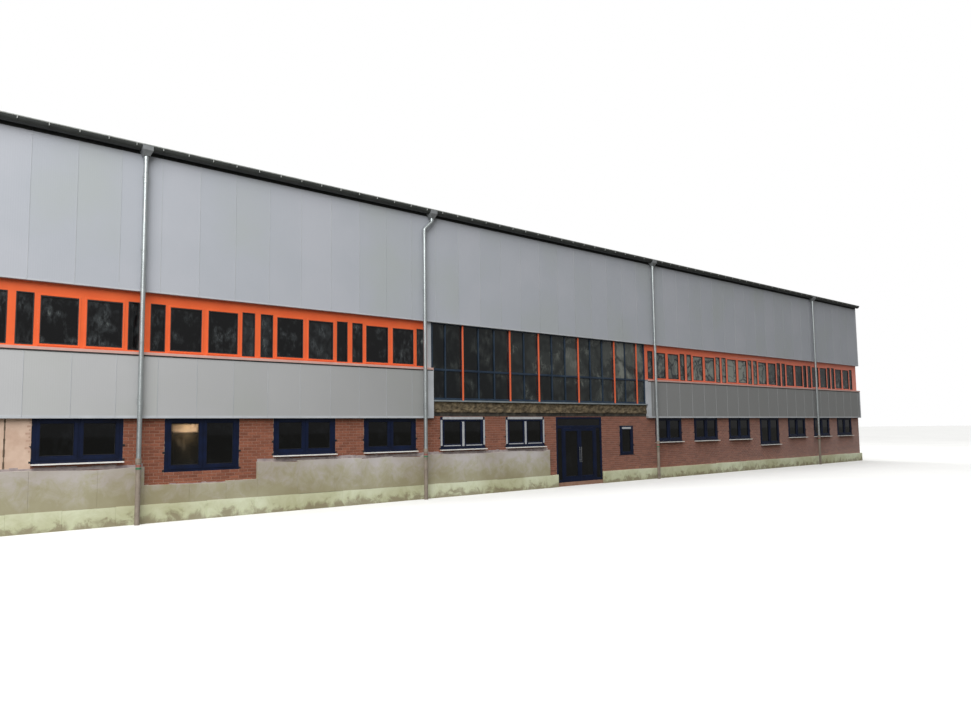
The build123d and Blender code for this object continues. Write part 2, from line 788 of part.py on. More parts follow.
# Hoppers that hold the gutter like a saddle and narrow to the downpipe
hopper_depth = 2 * gutter_radius + hopper_projection
hopper_neck = gutter_rim - gutter_radius
hopper_outlet = hopper_neck - hopper_foot
pipe_top = hopper_outlet - fit_gap
with BuildPart() as rainwater_hoppers:
    for side, outlet_x, pipe_x in outlets:
        hopper_centre = (outlet_x, side * (gutter_y + hopper_projection / 2))
        with BuildSketch(Plane.XY.offset(hopper_neck)):
            with Locations(hopper_centre):
                Rectangle(hopper_width, hopper_depth)
        extrude(amount=gutter_radius - gutter_bead - lap_gap)
        with BuildSketch(Plane.XY.offset(hopper_neck)):
            with Locations(hopper_centre):
                Rectangle(hopper_width, hopper_depth)
        with BuildSketch(Plane.XY.offset(hopper_outlet)):
            with Locations((outlet_x, side * gutter_y)):
                Rectangle(2 * socket_radius, 2 * socket_radius)
        loft()
        with BuildSketch(Plane.XY.offset(hopper_outlet)):
            with Locations((outlet_x, side * gutter_y)):
                round_section(pipe_radius - pipe_wall)
        extrude(amount=hopper_foot + gutter_radius, mode=Mode.SUBTRACT)
    for side in (-1, 1):
        with BuildSketch(Plane.YZ.offset(-trim_end)):
            with Locations((side * gutter_y, gutter_rim)):
                RegularPolygon(gutter_radius + fit_gap, gutter_sides)
        extrude(amount=2 * trim_end, mode=Mode.SUBTRACT)
rainwater_hoppers.part.label = "rainwater_hoppers"
export_step(rainwater_hoppers.part, "parts/rainwater_hoppers.step")

# Downpipes; one is set aside below its outlet by a swan neck with mitred bends
neck_top = pipe_top - neck_bend
neck_foot = neck_top - neck_drop
with BuildPart() as downpipes:
    for side, outlet_x, pipe_x in outlets:
        pipe_y = side * gutter_y
        with BuildLine() as route:
            if outlet_x == pipe_x:
                Line((pipe_x, pipe_y, pipe_top), (pipe_x, pipe_y, pipe_foot))
            else:
                Polyline((outlet_x, pipe_y, pipe_top), (outlet_x, pipe_y, neck_top),
                         (pipe_x, pipe_y, neck_foot), (pipe_x, pipe_y, pipe_foot))
        with BuildSketch(Plane.XY.offset(pipe_top)):
            with Locations((outlet_x, pipe_y)):
                round_section(pipe_radius)
                round_section(pipe_radius - pipe_wall, mode=Mode.SUBTRACT)
        sweep(path=route.wires()[0], transition=Transition.RIGHT)
downpipes.part.label = "downpipes"
export_step(downpipes.part, "parts/downpipes.step")

# Standpipes in the ground with the socket that takes each downpipe
with BuildPart() as standpipes:
    for side, outlet_x, pipe_x in outlets:
        with BuildSketch():
            with Locations((pipe_x, side * gutter_y)):
                round_section(standpipe_radius)
        extrude(amount=pipe_foot - fit_gap)
        with BuildSketch(Plane.XY.offset(pipe_foot - socket_height / 2)):
            with Locations((pipe_x, side * gutter_y)):
                round_section(socket_radius)
        extrude(amount=socket_height)
        with BuildSketch(Plane.XY.offset(pipe_foot - fit_gap)):
            with Locations((pipe_x, side * gutter_y)):
                round_section(pipe_radius + fit_gap)
        extrude(amount=socket_height, mode=Mode.SUBTRACT)
standpipes.part.label = "standpipes"
export_step(standpipes.part, "parts/standpipes.step")

# Clips that hold the downpipes off the cladding, from the top down and clear of the windows
clip_top = neck_foot - neck_bend - clip_height
clip_levels = []
for index in range(clip_count):
    level = clip_top - index * clip_spacing
    if level + clip_height < ribbon_bottom - sill_lip or level > upper_cladding_bottom + head_lip:
        clip_levels.append(level)
with BuildPart() as pipe_clips:
    for side, outlet_x, pipe_x in outlets:
        for level in clip_levels:
            with BuildSketch(Plane.XY.offset(level)):
                with Locations((pipe_x, side * (clad_y + gutter_y) / 2)):
                    Rectangle(clip_width, gutter_y - clad_y)
                with Locations((pipe_x, side * gutter_y)):
                    round_section(pipe_radius + fit_gap, mode=Mode.SUBTRACT)
            extrude(amount=clip_height)
pipe_clips.part.label = "pipe_clips"
export_step(pipe_clips.part, "parts/pipe_clips.step")
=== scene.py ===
# %% [markdown]
# # A two-storey industrial building
#
# The real building is about 55 m long and is modelled at half size, so one real metre is half a
# metre here. The construction comes ready made as the frame: walls, floors, cladding, windows and
# rainwater goods at their true places. This lesson gives each surface its finish and adds what is
# too small or too numerous for the frame, such as bricks, panel joints, sashes, straps and clamps.
# Everything sits in the same metres as the frame, so a piece goes straight where its wall is.

# %% Load the frame
import json
import math
import random

import bmesh
import bpy
from mathutils import Matrix, Vector, noise


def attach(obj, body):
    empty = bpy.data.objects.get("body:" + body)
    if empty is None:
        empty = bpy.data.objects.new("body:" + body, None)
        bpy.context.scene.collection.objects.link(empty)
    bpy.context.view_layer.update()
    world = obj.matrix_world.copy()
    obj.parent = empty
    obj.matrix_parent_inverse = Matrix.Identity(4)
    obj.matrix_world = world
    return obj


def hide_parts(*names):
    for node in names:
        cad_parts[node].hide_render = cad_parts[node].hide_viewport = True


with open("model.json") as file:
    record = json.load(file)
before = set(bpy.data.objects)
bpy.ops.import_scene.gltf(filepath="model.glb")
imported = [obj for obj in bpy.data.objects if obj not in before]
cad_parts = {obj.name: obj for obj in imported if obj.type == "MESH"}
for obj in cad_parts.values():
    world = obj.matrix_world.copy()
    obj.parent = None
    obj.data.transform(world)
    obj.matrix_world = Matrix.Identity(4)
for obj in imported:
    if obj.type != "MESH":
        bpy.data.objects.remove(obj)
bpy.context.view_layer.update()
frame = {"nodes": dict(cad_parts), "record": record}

scene = bpy.context.scene
REAL = 0.5  # metres of the model for each real metre


def model(real_mm):
    """Metres in the model for millimetres on the real building."""
    return real_mm / 1000 * REAL


def extent(name):
    """The low and high corner of a node of the frame, to a hundredth of a millimetre."""
    corners = frame["nodes"][name].bound_box
    return [[round(pick(corner[axis] for corner in corners), 5) for axis in range(3)] for pick in (min, max)]


# %% [markdown]
# ## Camera
#
# The photograph was taken by hand, a little tilted. Its place was found by fitting the rows of
# windows, which repeat every 3 m. A camera could be aimed at a target object, but writing its three
# angles keeps the slight roll of the hand-held picture.

# %% Camera
IMAGE_WIDTH = 971
FOCAL_PIXELS = 754.3
YAW, PITCH, ROLL = (math.radians(a) for a in (41.29, 4.91, -0.76))
EYE = Vector((-10.582, -14.849, 1.1315))

forward = Vector((math.sin(YAW) * math.cos(PITCH), math.cos(YAW) * math.cos(PITCH), math.sin(PITCH)))
level_right = Vector((math.cos(YAW), -math.sin(YAW), 0))
level_up = level_right.cross(forward)
right = math.cos(ROLL) * level_right + math.sin(ROLL) * level_up
up = -math.sin(ROLL) * level_right + math.cos(ROLL) * level_up

camera = bpy.data.objects.new("camera", bpy.data.cameras.new("camera"))
camera.data.sensor_width = 36
camera.data.lens = FOCAL_PIXELS / IMAGE_WIDTH * camera.data.sensor_width
camera.matrix_world = Matrix.Translation(EYE) @ Matrix((right, up, -forward)).transposed().to_4x4()
scene.collection.objects.link(camera)
scene.camera = camera
print("camera: lens", round(camera.data.lens, 2), "mm at", [round(v, 2) for v in EYE])

# %% [markdown]
# ## Nodes for finishes
#
# Every finish is a small node tree. One function adds a node, sets it up and links it, so that each
# tree reads like a recipe. Colours are written as sRGB hex, as a paint chart gives them, and turned
# into the linear values that the renderer works in. The size of each pattern is given in real
# millimetres. A texture's scale is one over the length of its pattern, so it is worked out from that.

# %% Helpers for node trees
def linear(hex_colour):
    channels = [int(hex_colour[i:i + 2], 16) / 255 for i in (0, 2, 4)]
    return [c / 12.92 if c <= 0.04045 else ((c + 0.055) / 1.055) ** 2.4 for c in channels] + [1.0]


def node(tree, kind, inputs=None, stops=(), **settings):
    """Adds one node; an input takes a value or another node's output, and a ramp takes its stops."""
    made = tree.nodes.new(kind)
    for name, value in settings.items():
        setattr(made, name, value)
    for name, value in (inputs or {}).items():
        if isinstance(value, bpy.types.NodeSocket):
            tree.links.new(value, made.inputs[name])
        else:
            made.inputs[name].default_value = value
    for _ in stops[2:]:
        made.color_ramp.elements.new(0.5)
    for index, (position, colour) in enumerate(stops):
        made.color_ramp.elements[index].position = position
        made.color_ramp.elements[index].color = linear(colour)
    return made


def new_finish(name):
    """A material with an empty tree, and the place on the piece in its own metres."""
    material = bpy.data.materials.new(name)
    material.use_nodes = True
    material.node_tree.nodes.clear()
    place = node(material.node_tree, "ShaderNodeTexCoord").outputs["Object"]
    return material, material.node_tree, place


def close_finish(tree, sockets):
    """Ends a tree with its shader, each socket set or linked."""
    shader = node(tree, "ShaderNodeBsdfPrincipled", sockets)
    node(tree, "ShaderNodeOutputMaterial", {"Surface": shader.outputs["BSDF"]})


def per(real_mm):
    """The scale of a texture whose pattern repeats about every so many real millimetres."""
    return 1 / model(real_mm)


print("helpers ready, a pattern of 100 mm has the scale", per(100))

# %% [markdown]
# ## A weathered finish
#
# Most surfaces here are one colour with slight, cloudy variation, a little unevenness in gloss and
# fine relief. A flat colour would look like plastic, so two noises are used: a broad one for the
# colour, and a fine one for relief and gloss.

# %% The weathered finish
GLOSS_SWING = 0.06


def weathered(name, dark, light, patch_mm, grain_mm, roughness, metallic=0.0, relief_mm=0.2,
              stretch=(1, 1, 1), specular=0.5, dust_and_painted_shade=0.0):
    material, tree, place = new_finish(name)
    mapped = node(tree, "ShaderNodeMapping", {"Vector": place, "Scale": stretch}).outputs["Vector"]
    patches = node(tree, "ShaderNodeTexNoise", {"Vector": mapped, "Scale": per(patch_mm), "Detail": 5.0})
    grain = node(tree, "ShaderNodeTexNoise", {"Vector": place, "Scale": per(grain_mm), "Detail": 3.0})
    colour = node(tree, "ShaderNodeValToRGB", {"Fac": patches.outputs["Fac"]}, [(0.3, dark), (0.7, light)])
    gloss = node(tree, "ShaderNodeMapRange", {"Value": grain.outputs["Fac"],
                                              "To Min": roughness - GLOSS_SWING,
                                              "To Max": roughness + GLOSS_SWING})
    bump = node(tree, "ShaderNodeBump", {"Height": grain.outputs["Fac"], "Strength": 0.6,
                                         "Distance": model(relief_mm)})
    sockets = {"Base Color": colour.outputs["Color"], "Roughness": gloss.outputs["Result"],
               "Normal": bump.outputs["Normal"], "Metallic": metallic}
    if not metallic:
        sockets.update({"Specular IOR Level": specular, "Sheen Weight": dust_and_painted_shade, "Sheen Roughness": 0.4})
    close_finish(tree, sockets)
    return material


print("the weathered finish is ready")

# %% Coated and bare metals
# Polyester-coated steel sheet in silver: satin, very even, with faint upright streaks of dirt
silver_coated_steel = weathered("silver_coated_steel", "A9AEB4", "B7BBC0", 900, 30, 0.42,
                                relief_mm=0.05, stretch=(1, 1, 0.25))
# Powder-coated aluminium in orange: satin, with slight orange peel and a film of dust that only
# shows at a low angle
orange_powder_coat = weathered("orange_powder_coat", "E05B27", "E8642D", 500, 6, 0.42, relief_mm=0.05,
                               dust_and_painted_shade=0.8)
# Slate-blue powder coat on the glazed centre's sections
slate_powder_coat = weathered("slate_powder_coat", "1C2A3C", "2C3C4C", 400, 6, 0.4, relief_mm=0.05,
                              specular=0.3)
# Mill-finish aluminium sills: pale and slightly streaked, tinted salmon as a painted reflection of the
# orange above
aluminium_sill = weathered("aluminium_sill", "CDA69C", "DCB4AA", 250, 12, 0.4, metallic=0.25,
                           relief_mm=0.05)
# Folded steel trims in the colour of the cladding, satin
silver_trim = weathered("silver_trim", "AEB2B6", "BDC1C5", 600, 20, 0.4, relief_mm=0.05)
# Coated steel flashing under the glazed centre, silver like the trims but painted a darker blue grey, as
# painted shade
flashing_painted_shade = weathered("flashing_painted_shade", "747B7E", "889194", 300, 20, 0.5, relief_mm=0.1)
# Dark coated steel of fascias and verges: almost black, dusty on top
dark_coated_steel = weathered("dark_coated_steel", "1E2021", "2C2E2E", 350, 12, 0.5, relief_mm=0.1,
                              specular=0.3)
# The gutters, of the same steel, painted lighter than the fascias as a painted highlight of the sky on their
# round
gutter_steel_painted_light = weathered("gutter_steel_painted_light", "2F3231", "3E413F", 350, 12, 0.5, relief_mm=0.1)
# The rolled bead of the gutters and the noses of the straps, painted pale: a painted highlight along the
# eaves
painted_highlight_steel = weathered("gutter_steel_painted_highlight", "8E918E", "A8ABA8", 150, 8, 0.45, relief_mm=0.05)
# Zinc-grey coated hopper, matt
hopper_zinc = weathered("hopper_zinc", "6E7172", "808385", 160, 8, 0.5)
# Trapezoid roof sheet, coated dark grey and dulled by weather
roof_coating = weathered("roof_coating", "4C4F51", "585B5D", 1200, 20, 0.65, relief_mm=0.1, specular=0.3)
# Stainless door handle, brushed: bright, with soft reflections
stainless_steel = weathered("stainless_steel", "9C9FA1", "B9BCBE", 60, 3, 0.3, metallic=1.0)
print("metals:", len(bpy.data.materials))

# %% Plastics and rubber
# Foiled window section in navy blue: satin plastic with a fine grain
navy_window_foil = weathered("navy_window_foil", "040D24", "081736", 300, 4, 0.5, relief_mm=0.08,
                             specular=0.25)
# White plastic window boards, matt with a little dust
white_plastic = weathered("white_plastic", "DCDAD3", "ECEBE6", 200, 10, 0.5)
# Grey-brown plastic standpipe, faded by the sun and splashed near the ground
brown_standpipe = weathered("brown_standpipe", "7E7266", "978B7E", 180, 10, 0.55, relief_mm=0.2)
# Paint of the two bands on the standpipes, scuffed
red_band = weathered("red_band_paint", "8E4A42", "A35A50", 60, 6, 0.6)
green_band = weathered("green_band_paint", "2F6B4A", "3C7C58", 60, 6, 0.6)
# Cured foam and acrylic round the new windows: brown with dirt, lumpy, matt
sealing_foam = weathered("sealing_foam", "86705F", "A38D79", 60, 10, 0.9, relief_mm=1.0)
# Pale protective tape left on two windows, slightly glossy
white_tape = weathered("white_tape", "A4A6A9", "B8BABC", 120, 8, 0.55, relief_mm=0.1)
# Bitumen membrane, black under a coat of dust; its black also stands for the shade under the broken slab
# edge, painted shade
dusty_membrane_and_painted_shade = weathered("dusty_membrane_and_painted_shade", "1E1D1B", "4A443B", 200, 10, 0.8, relief_mm=0.3)
# Black rubber of gaskets and fixing lugs, dull
black_rubber = weathered("black_rubber", "101112", "1C1D1E", 80, 4, 0.6, relief_mm=0.05)
# Sealant in the joint of the rendered pier, brown with age
old_sealant = weathered("old_sealant", "4A3A2C", "7A6A58", 90, 6, 0.8, relief_mm=0.3)
print("finishes so far:", len(bpy.data.materials))

# %% Concrete, block and mortar
# Cast concrete: grey, blotchy, with fine pits
cast_concrete = weathered("cast_concrete", "8E8A82", "A6A29A", 700, 14, 0.85, relief_mm=1.5)
# Broken edge of the upper floor: raw concrete, brown with rust and damp, rough
raw_concrete = weathered("raw_slab_edge", "42392B", "7A6C54", 160, 18, 0.95, relief_mm=4.0)
# Plastered blockwork of the upper floor: pale and matt
plastered_block = weathered("plastered_block", "BDBAB2", "CFCCC4", 900, 20, 0.8, relief_mm=0.8)
# Cement mortar behind and between the bricks: sandy and matt
cement_mortar = weathered("cement_mortar", "906C59", "A37F6A", 180, 6, 0.9, relief_mm=1.5)
# Peach render on one pier, and the thin coat of it beside the window: chalky and matt
peach_render = weathered("peach_render", "BFA18D", "D3B9A5", 260, 8, 0.9, relief_mm=1.0)
thin_render = weathered("thin_render", "A98A79", "C0A08C", 120, 8, 0.9, relief_mm=1.0)
# Lilac-grey adhesive left along the top of the foam boards
board_adhesive = weathered("board_adhesive", "857A7C", "A89C98", 110, 8, 0.9, relief_mm=0.8)
print("finishes so far:", len(bpy.data.materials))

# %% [markdown]
# ## Galvanised steel
#
# Hot-dipped zinc freezes into flakes of crystal, the spangle, each a slightly different grey. A
# Voronoi texture gives one value for each cell, which is just what a flake is.

# %% Galvanised steel
def galvanised(name, flake_mm, stain_mm):
    material, tree, place = new_finish(name)
    flakes = node(tree, "ShaderNodeTexVoronoi", {"Vector": place, "Scale": per(flake_mm)})
    stains = node(tree, "ShaderNodeTexNoise", {"Vector": place, "Scale": per(stain_mm), "Detail": 4.0})
    level = node(tree, "ShaderNodeMath", {0: flakes.outputs["Color"], 1: stains.outputs["Fac"]},
                 operation="ADD")
    half = node(tree, "ShaderNodeMath", {0: level.outputs["Value"], 1: 0.5}, operation="MULTIPLY")
    colour = node(tree, "ShaderNodeValToRGB", {"Fac": half.outputs["Value"]},
                  [(0.2, "949A9B"), (0.8, "BBC1C1")])
    gloss = node(tree, "ShaderNodeMapRange", {"Value": half.outputs["Value"], "To Min": 0.3, "To Max": 0.5})
    close_finish(tree, {"Base Color": colour.outputs["Color"], "Metallic": 0.75,
                        "Roughness": gloss.outputs["Result"]})
    return material


# Spangle 12 mm across, coarser than the usual 5 mm, because finer flakes vanish at this distance
galvanised_steel = galvanised("galvanised_steel", 12, 400)
print("made", galvanised_steel.name)

# %% [markdown]
# ## Fired brick
#
# The bricks are soft-mud facing bricks from orange to plum. Each brick of the mesh carries a random
# number in an attribute named tone, which picks its colour, and noise inside the brick adds the
# sandy, dragged face of its mould.

# %% Fired brick
def fired_brick(sand_mm):
    material, tree, place = new_finish("fired_brick")
    tone = node(tree, "ShaderNodeAttribute", attribute_name="tone").outputs["Fac"]
    base = node(tree, "ShaderNodeValToRGB", {"Fac": tone},
                [(0.0, "7D4732"), (0.3, "874E38"), (0.7, "8E533C"), (1.0, "9A5D45")])
    sand = node(tree, "ShaderNodeTexNoise", {"Vector": place, "Scale": per(sand_mm), "Detail": 6.0})
    speckle = node(tree, "ShaderNodeValToRGB", {"Fac": sand.outputs["Fac"]},
                   [(0.35, "B9B0A6"), (0.65, "FFFFFF")])
    colour = node(tree, "ShaderNodeMix", {"Factor": 0.55, "A": base.outputs["Color"],
                                          "B": speckle.outputs["Color"]},
                  data_type="RGBA", blend_type="MULTIPLY")
    bump = node(tree, "ShaderNodeBump", {"Height": sand.outputs["Fac"], "Strength": 0.8,
                                         "Distance": model(2)})
    close_finish(tree, {"Base Color": colour.outputs["Result"], "Roughness": 0.85, "Sheen Weight": 0.8,
                        "Sheen Roughness": 0.4, "Normal": bump.outputs["Normal"]})
    return material


brick_face = fired_brick(36.4)
print("made", brick_face.name)

# %% [markdown]
# ## Window glass
#
# Daylight makes a window look almost black from outside, with open sky and dark, branching shapes
# mirrored in it. Clear glass would need furnished rooms behind it and surroundings in front, so the
# pane itself is tinted dark and carries what it would mirror: fine noise, seen in broad gaps, under
# the borders of bent Voronoi cells. A pane's tone attribute makes it lighter, as a pane that mirrors
# open sky is.

# %% Window glass
def dark_glazing(name, dark, middle, pale, fine_mm, cell_mm):
    material, tree, place = new_finish(name)
    cell = model(cell_mm)
    tall = node(tree, "ShaderNodeVectorMath", {0: place, 1: (1, 1, 0.5)}, operation="MULTIPLY")
    fine = node(tree, "ShaderNodeTexNoise", {"Vector": tall.outputs["Vector"], "Scale": per(fine_mm),
                                             "Detail": 7.0, "Roughness": 0.7, "Distortion": 0.3})
    broad = node(tree, "ShaderNodeTexNoise", {"Vector": place, "Scale": 1.6 / cell, "Detail": 2.0})
    gap = node(tree, "ShaderNodeMapRange", {"Value": broad.outputs["Fac"], "From Min": 0.42,
                                            "From Max": 0.66, "To Min": 0.10})
    bends = node(tree, "ShaderNodeTexNoise", {"Vector": place, "Scale": 2.5 / cell, "Detail": 3.0})
    bent = node(tree, "ShaderNodeVectorMath", {0: bends.outputs["Color"], 1: (0.6 * cell,) * 3, 2: place},
                operation="MULTIPLY_ADD")
    borders = node(tree, "ShaderNodeTexVoronoi", {"Vector": bent.outputs["Vector"], "Scale": 1 / cell},
                   feature="DISTANCE_TO_EDGE")
    open_sky = node(tree, "ShaderNodeMapRange", {"Value": borders.outputs["Distance"], "From Max": 0.10,
                                                 "To Min": 0.50})
    light = node(tree, "ShaderNodeMapRange", {"Value": fine.outputs["Fac"], "From Min": 0.42,
                                              "From Max": 0.68, "To Max": 0.65})
    tone = node(tree, "ShaderNodeAttribute", attribute_name="tone").outputs["Fac"]
    lit = node(tree, "ShaderNodeMath", {0: light.outputs["Result"], 1: gap.outputs["Result"], 2: tone},
               operation="MULTIPLY_ADD")
    level = node(tree, "ShaderNodeMath", {0: lit.outputs["Value"], 1: open_sky.outputs["Result"]},
                 operation="MULTIPLY")
    colour = node(tree, "ShaderNodeValToRGB", {"Fac": level.outputs["Value"]},
                  [(0.05, dark), (0.45, middle), (1.0, pale)])
    close_finish(tree, {"Base Color": colour.outputs["Color"], "Roughness": 0.03, "IOR": 1.5,
                        "Specular IOR Level": 0.4, "Transmission Weight": 0.3})
    return material


# Sealed units of the ribbon, the ground floor and the glazed centre, with painted reflections: the
# first carry most of the sky, the second stay near black, and the third are faintly green
insulating_glass = dark_glazing("insulating_glass", "0B0C0E", "454A4C", "A2A79E", 130, 700)
ground_glass = dark_glazing("ground_floor_glass", "070808", "17191B", "2A2E30", 150, 900)
teal_glass = dark_glazing("teal_glass", "0D1214", "3F4442", "8E928A", 200, 1500)
print("made", insulating_glass.name, ground_glass.name, "and", teal_glass.name)

# %% [markdown]
# ## Foam boards at the foot of the wall
#
# The insulation boards are extruded foam: a dull skin, bleached by the sun near the top edge and
# smeared with cement lower down. The height on the wall steers the fading, so the Z of the Object
# coordinates is mixed into the noise before the ramp.

# %% Foam board finish
BOARD_SPLIT, BOARD_TOP = 0.24, 0.74


def foam_board(name, foot, middle, top, low_z, high_z):
    material, tree, place = new_finish(name)
    height = node(tree, "ShaderNodeSeparateXYZ", {"Vector": place}).outputs["Z"]
    risen = node(tree, "ShaderNodeMapRange", {"Value": height, "From Min": low_z, "From Max": high_z})
    smears = node(tree, "ShaderNodeTexNoise", {"Vector": place, "Scale": per(400), "Detail": 8.0,
                                               "Roughness": 0.68, "Distortion": 0.6})
    centred = node(tree, "ShaderNodeMath", {0: smears.outputs["Fac"], 1: 0.5}, operation="SUBTRACT")
    swing = node(tree, "ShaderNodeMath", {0: centred.outputs["Value"], 1: 2.6}, operation="MULTIPLY")
    level = node(tree, "ShaderNodeMath", {0: risen.outputs["Result"], 1: swing.outputs["Value"]},
                 operation="ADD")
    faded = node(tree, "ShaderNodeValToRGB", {"Fac": level.outputs["Value"]},
                 [(0.1, foot), (0.45, middle), (0.9, top)])
    broad = node(tree, "ShaderNodeTexNoise", {"Vector": place, "Scale": per(2222), "Detail": 5.0})
    stained = node(tree, "ShaderNodeValToRGB", {"Fac": broad.outputs["Fac"]},
                   [(0.38, "DDD8CB"), (0.62, "FFFFFF")])
    colour = node(tree, "ShaderNodeMix", {"Factor": 1.0, "A": faded.outputs["Color"],
                                          "B": stained.outputs["Color"]},
                  data_type="RGBA", blend_type="MULTIPLY")
    cells = node(tree, "ShaderNodeTexNoise", {"Vector": place, "Scale": per(12.5), "Detail": 3.0})
    bump = node(tree, "ShaderNodeBump", {"Height": cells.outputs["Fac"], "Strength": 0.5,
                                         "Distance": model(1.6)})
    close_finish(tree, {"Base Color": colour.outputs["Result"], "Roughness": 0.8,
                        "Normal": bump.outputs["Normal"]})
    return material


grey_foam = foam_board("grey_foam", "B0AB90", "B9B4A2", "C4BEBC", BOARD_SPLIT, BOARD_TOP)
green_foam = foam_board("green_foam", "A9A388", "D8DDBB", "E4E9CD", 0.0, BOARD_SPLIT)
print("made", grey_foam.name, "and", green_foam.name)

# %% [markdown]
# ## Cladding with its panel tones
#
# The wall panels are steel-faced sandwich panels one real metre wide. From panel to panel the coil
# coating differs by a shade, and shallow ribs run upwards. The ribs are 50 mm apart, far too fine to
# model, so a bump makes them. Adding X and Y gives a distance along any of the four sides. The
# lower band is painted a greener grey than the upper one, a painted reflection of the ground, and
# is painted darker towards the right, a painted shade.

# %% Sandwich panel finish
PAINTED_SHADE_START, PAINTED_SHADE_END = -9.0, 0.0
PANEL_RIB = model(50)


def coated_panel(name, shades, painted_shade):
    material, tree, place = new_finish(name)
    tone = node(tree, "ShaderNodeAttribute", attribute_name="tone").outputs["Fac"]
    clouds = node(tree, "ShaderNodeTexNoise", {"Vector": place, "Scale": per(2222), "Detail": 4.0})
    mixed = node(tree, "ShaderNodeMath", {0: tone, 1: 0.25, 2: clouds.outputs["Fac"]},
                 operation="MULTIPLY_ADD")
    clean = node(tree, "ShaderNodeValToRGB", {"Fac": mixed.outputs["Value"]},
                 list(zip((0.35, 0.6, 0.85), shades)))
    # Painted shade: towards the right the colour is mixed with a dark grey, as much as the call asks
    along_x = node(tree, "ShaderNodeSeparateXYZ", {"Vector": place}).outputs["X"]
    dust_and_painted_shade = node(tree, "ShaderNodeMapRange", {"Value": along_x, "From Min": PAINTED_SHADE_START,
                                             "From Max": PAINTED_SHADE_END, "To Max": painted_shade})
    colour = node(tree, "ShaderNodeMix", {"Factor": dust_and_painted_shade.outputs["Result"], "A": clean.outputs["Color"],
                                          "B": linear("7A7B7A")}, data_type="RGBA")
    along = node(tree, "ShaderNodeVectorMath", {0: place, 1: (1, 1, 0)}, operation="DOT_PRODUCT")
    turns = node(tree, "ShaderNodeMath", {0: along.outputs["Value"], 1: 2 * math.pi / PANEL_RIB},
                 operation="MULTIPLY")
    ribs = node(tree, "ShaderNodeMath", {0: turns.outputs["Value"]}, operation="SINE")
    bump = node(tree, "ShaderNodeBump", {"Height": ribs.outputs["Value"], "Strength": 0.25,
                                         "Distance": model(0.6)})
    close_finish(tree, {"Base Color": colour.outputs["Result"], "Roughness": 0.5,
                        "Specular IOR Level": 0.3, "Normal": bump.outputs["Normal"]})
    return material


panel_finish = coated_panel("upper_panel_coating", ("A9AEB0", "ABAFB6", "B0B3BA"), 0.0)
# Lower band: a more neutral, greener grey than the upper band, a painted reflection of the ground, with
# painted shade towards the right
lower_panel_finish = coated_panel("lower_panel_coating", ("B2B4B2", "B5B6B7", "B9BABB"), 0.8)
# Joint lips: paler shades to the right, a painted highlight on their lit sides, with some painted shade
lip_finish = coated_panel("joint_lip_coating", ("ACB0B4", "B8BBBE", "C8CBCE"), 0.35)
print("made", panel_finish.name, lower_panel_finish.name, "and", lip_finish.name)

# %% [markdown]
# ## Walls as working planes
#
# A wall has thousands of small parts, all placed along it and up it. Each side of the building gets
# a working frame: X along the wall as seen from outside, Y up, and Z outwards from the brick face.
# Whatever is drawn in that frame goes to its wall by one matrix.

# %% Working frames of the four walls
HALF_LENGTH, HALF_DEPTH = extent("front_wall")[1][0], extent("rear_wall")[1][1]
UNIT = model(3000)  # a unit of windows


def wall_place(origin, direction):
    along, upwards = Vector(direction), Vector((0, 0, 1))
    turned = Matrix((along, upwards, along.cross(upwards))).transposed().to_4x4()
    return Matrix.Translation(origin) @ turned


SIDES = {"front": wall_place((0, -HALF_DEPTH, 0), (1, 0, 0)),
         "rear": wall_place((0, HALF_DEPTH, 0), (-1, 0, 0)),
         "left": wall_place((-HALF_LENGTH, 0, 0), (0, -1, 0)),
         "right": wall_place((HALF_LENGTH, 0, 0), (0, 1, 0))}
REACH = {"front": HALF_LENGTH, "rear": HALF_LENGTH, "left": HALF_DEPTH, "right": HALF_DEPTH}
print("walls:", REACH)

# %% [markdown]
# ## Small shapes and how they join
#
# An object for each small part would be slow. Each is made as its own bmesh with Blender's
# operators, moved to its place, and joined into one mesh for the whole piece. Many hard edges are
# eased by a bevel, because a perfectly sharp edge never catches the light.

# %% Boxes, and joining them into a piece
def box(low, high, bevel=0.0):
    """A small bmesh of a box between two corners, its edges eased."""
    small = bmesh.new()
    bmesh.ops.create_cube(small, size=1.0)
    bmesh.ops.scale(small, vec=Vector(high) - Vector(low), verts=small.verts)
    bmesh.ops.translate(small, vec=(Vector(high) + Vector(low)) / 2, verts=small.verts)
    if bevel:
        bmesh.ops.bevel(small, geom=small.edges[:], offset=bevel, segments=1, affect="EDGES",
                        profile=0.5, material=-1)
    return small


def template(small):
    mesh = bpy.data.meshes.new("template")
    small.to_mesh(mesh)
    small.free()
    return mesh


def join(target, small, place=None, tone=None):
    """Moves a small bmesh to its place and adds it to a larger one."""
    if place:
        small.transform(place)
    if tone is not None:
        layer = small.verts.layers.float.new("tone")
        for vert in small.verts:
            vert[layer] = tone
    mesh = template(small)
    target.from_mesh(mesh)
    bpy.data.meshes.remove(mesh)


def lay(target, along, height, out, bevel=0.0, side="front", tone=None):
    """Adds a box to a piece, by its ends along the wall, up it and out from the brick face."""
    join(target, box(*zip(along, height, out), bevel), SIDES[side], tone)


print("boxes can be laid on", list(SIDES))

# %% [markdown]
# A finished piece is a mesh with one finish. It rides on the building, and may take the place of a
# node of the frame that it draws better.

# %% Finishing a piece
def finish_piece(bm, name, material, replaced=(), smooth=False):
    """Turns a bmesh into a piece of the building with its finish."""
    assert bm.faces, name + " has no faces"
    mesh = bpy.data.meshes.new(name)
    bm.to_mesh(mesh)
    bm.free()
    mesh.materials.append(material)
    if smooth:
        mesh.shade_smooth()
        mesh.set_sharp_from_angle(angle=math.radians(35))
    piece = bpy.data.objects.new(name, mesh)
    scene.collection.objects.link(piece)
    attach(piece, "root")
    if replaced:
        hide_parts(*replaced)
    print(f"{name}: {sum(len(face.vertices) - 2 for face in mesh.polygons)} triangles")
    return piece


print("ready to finish pieces")

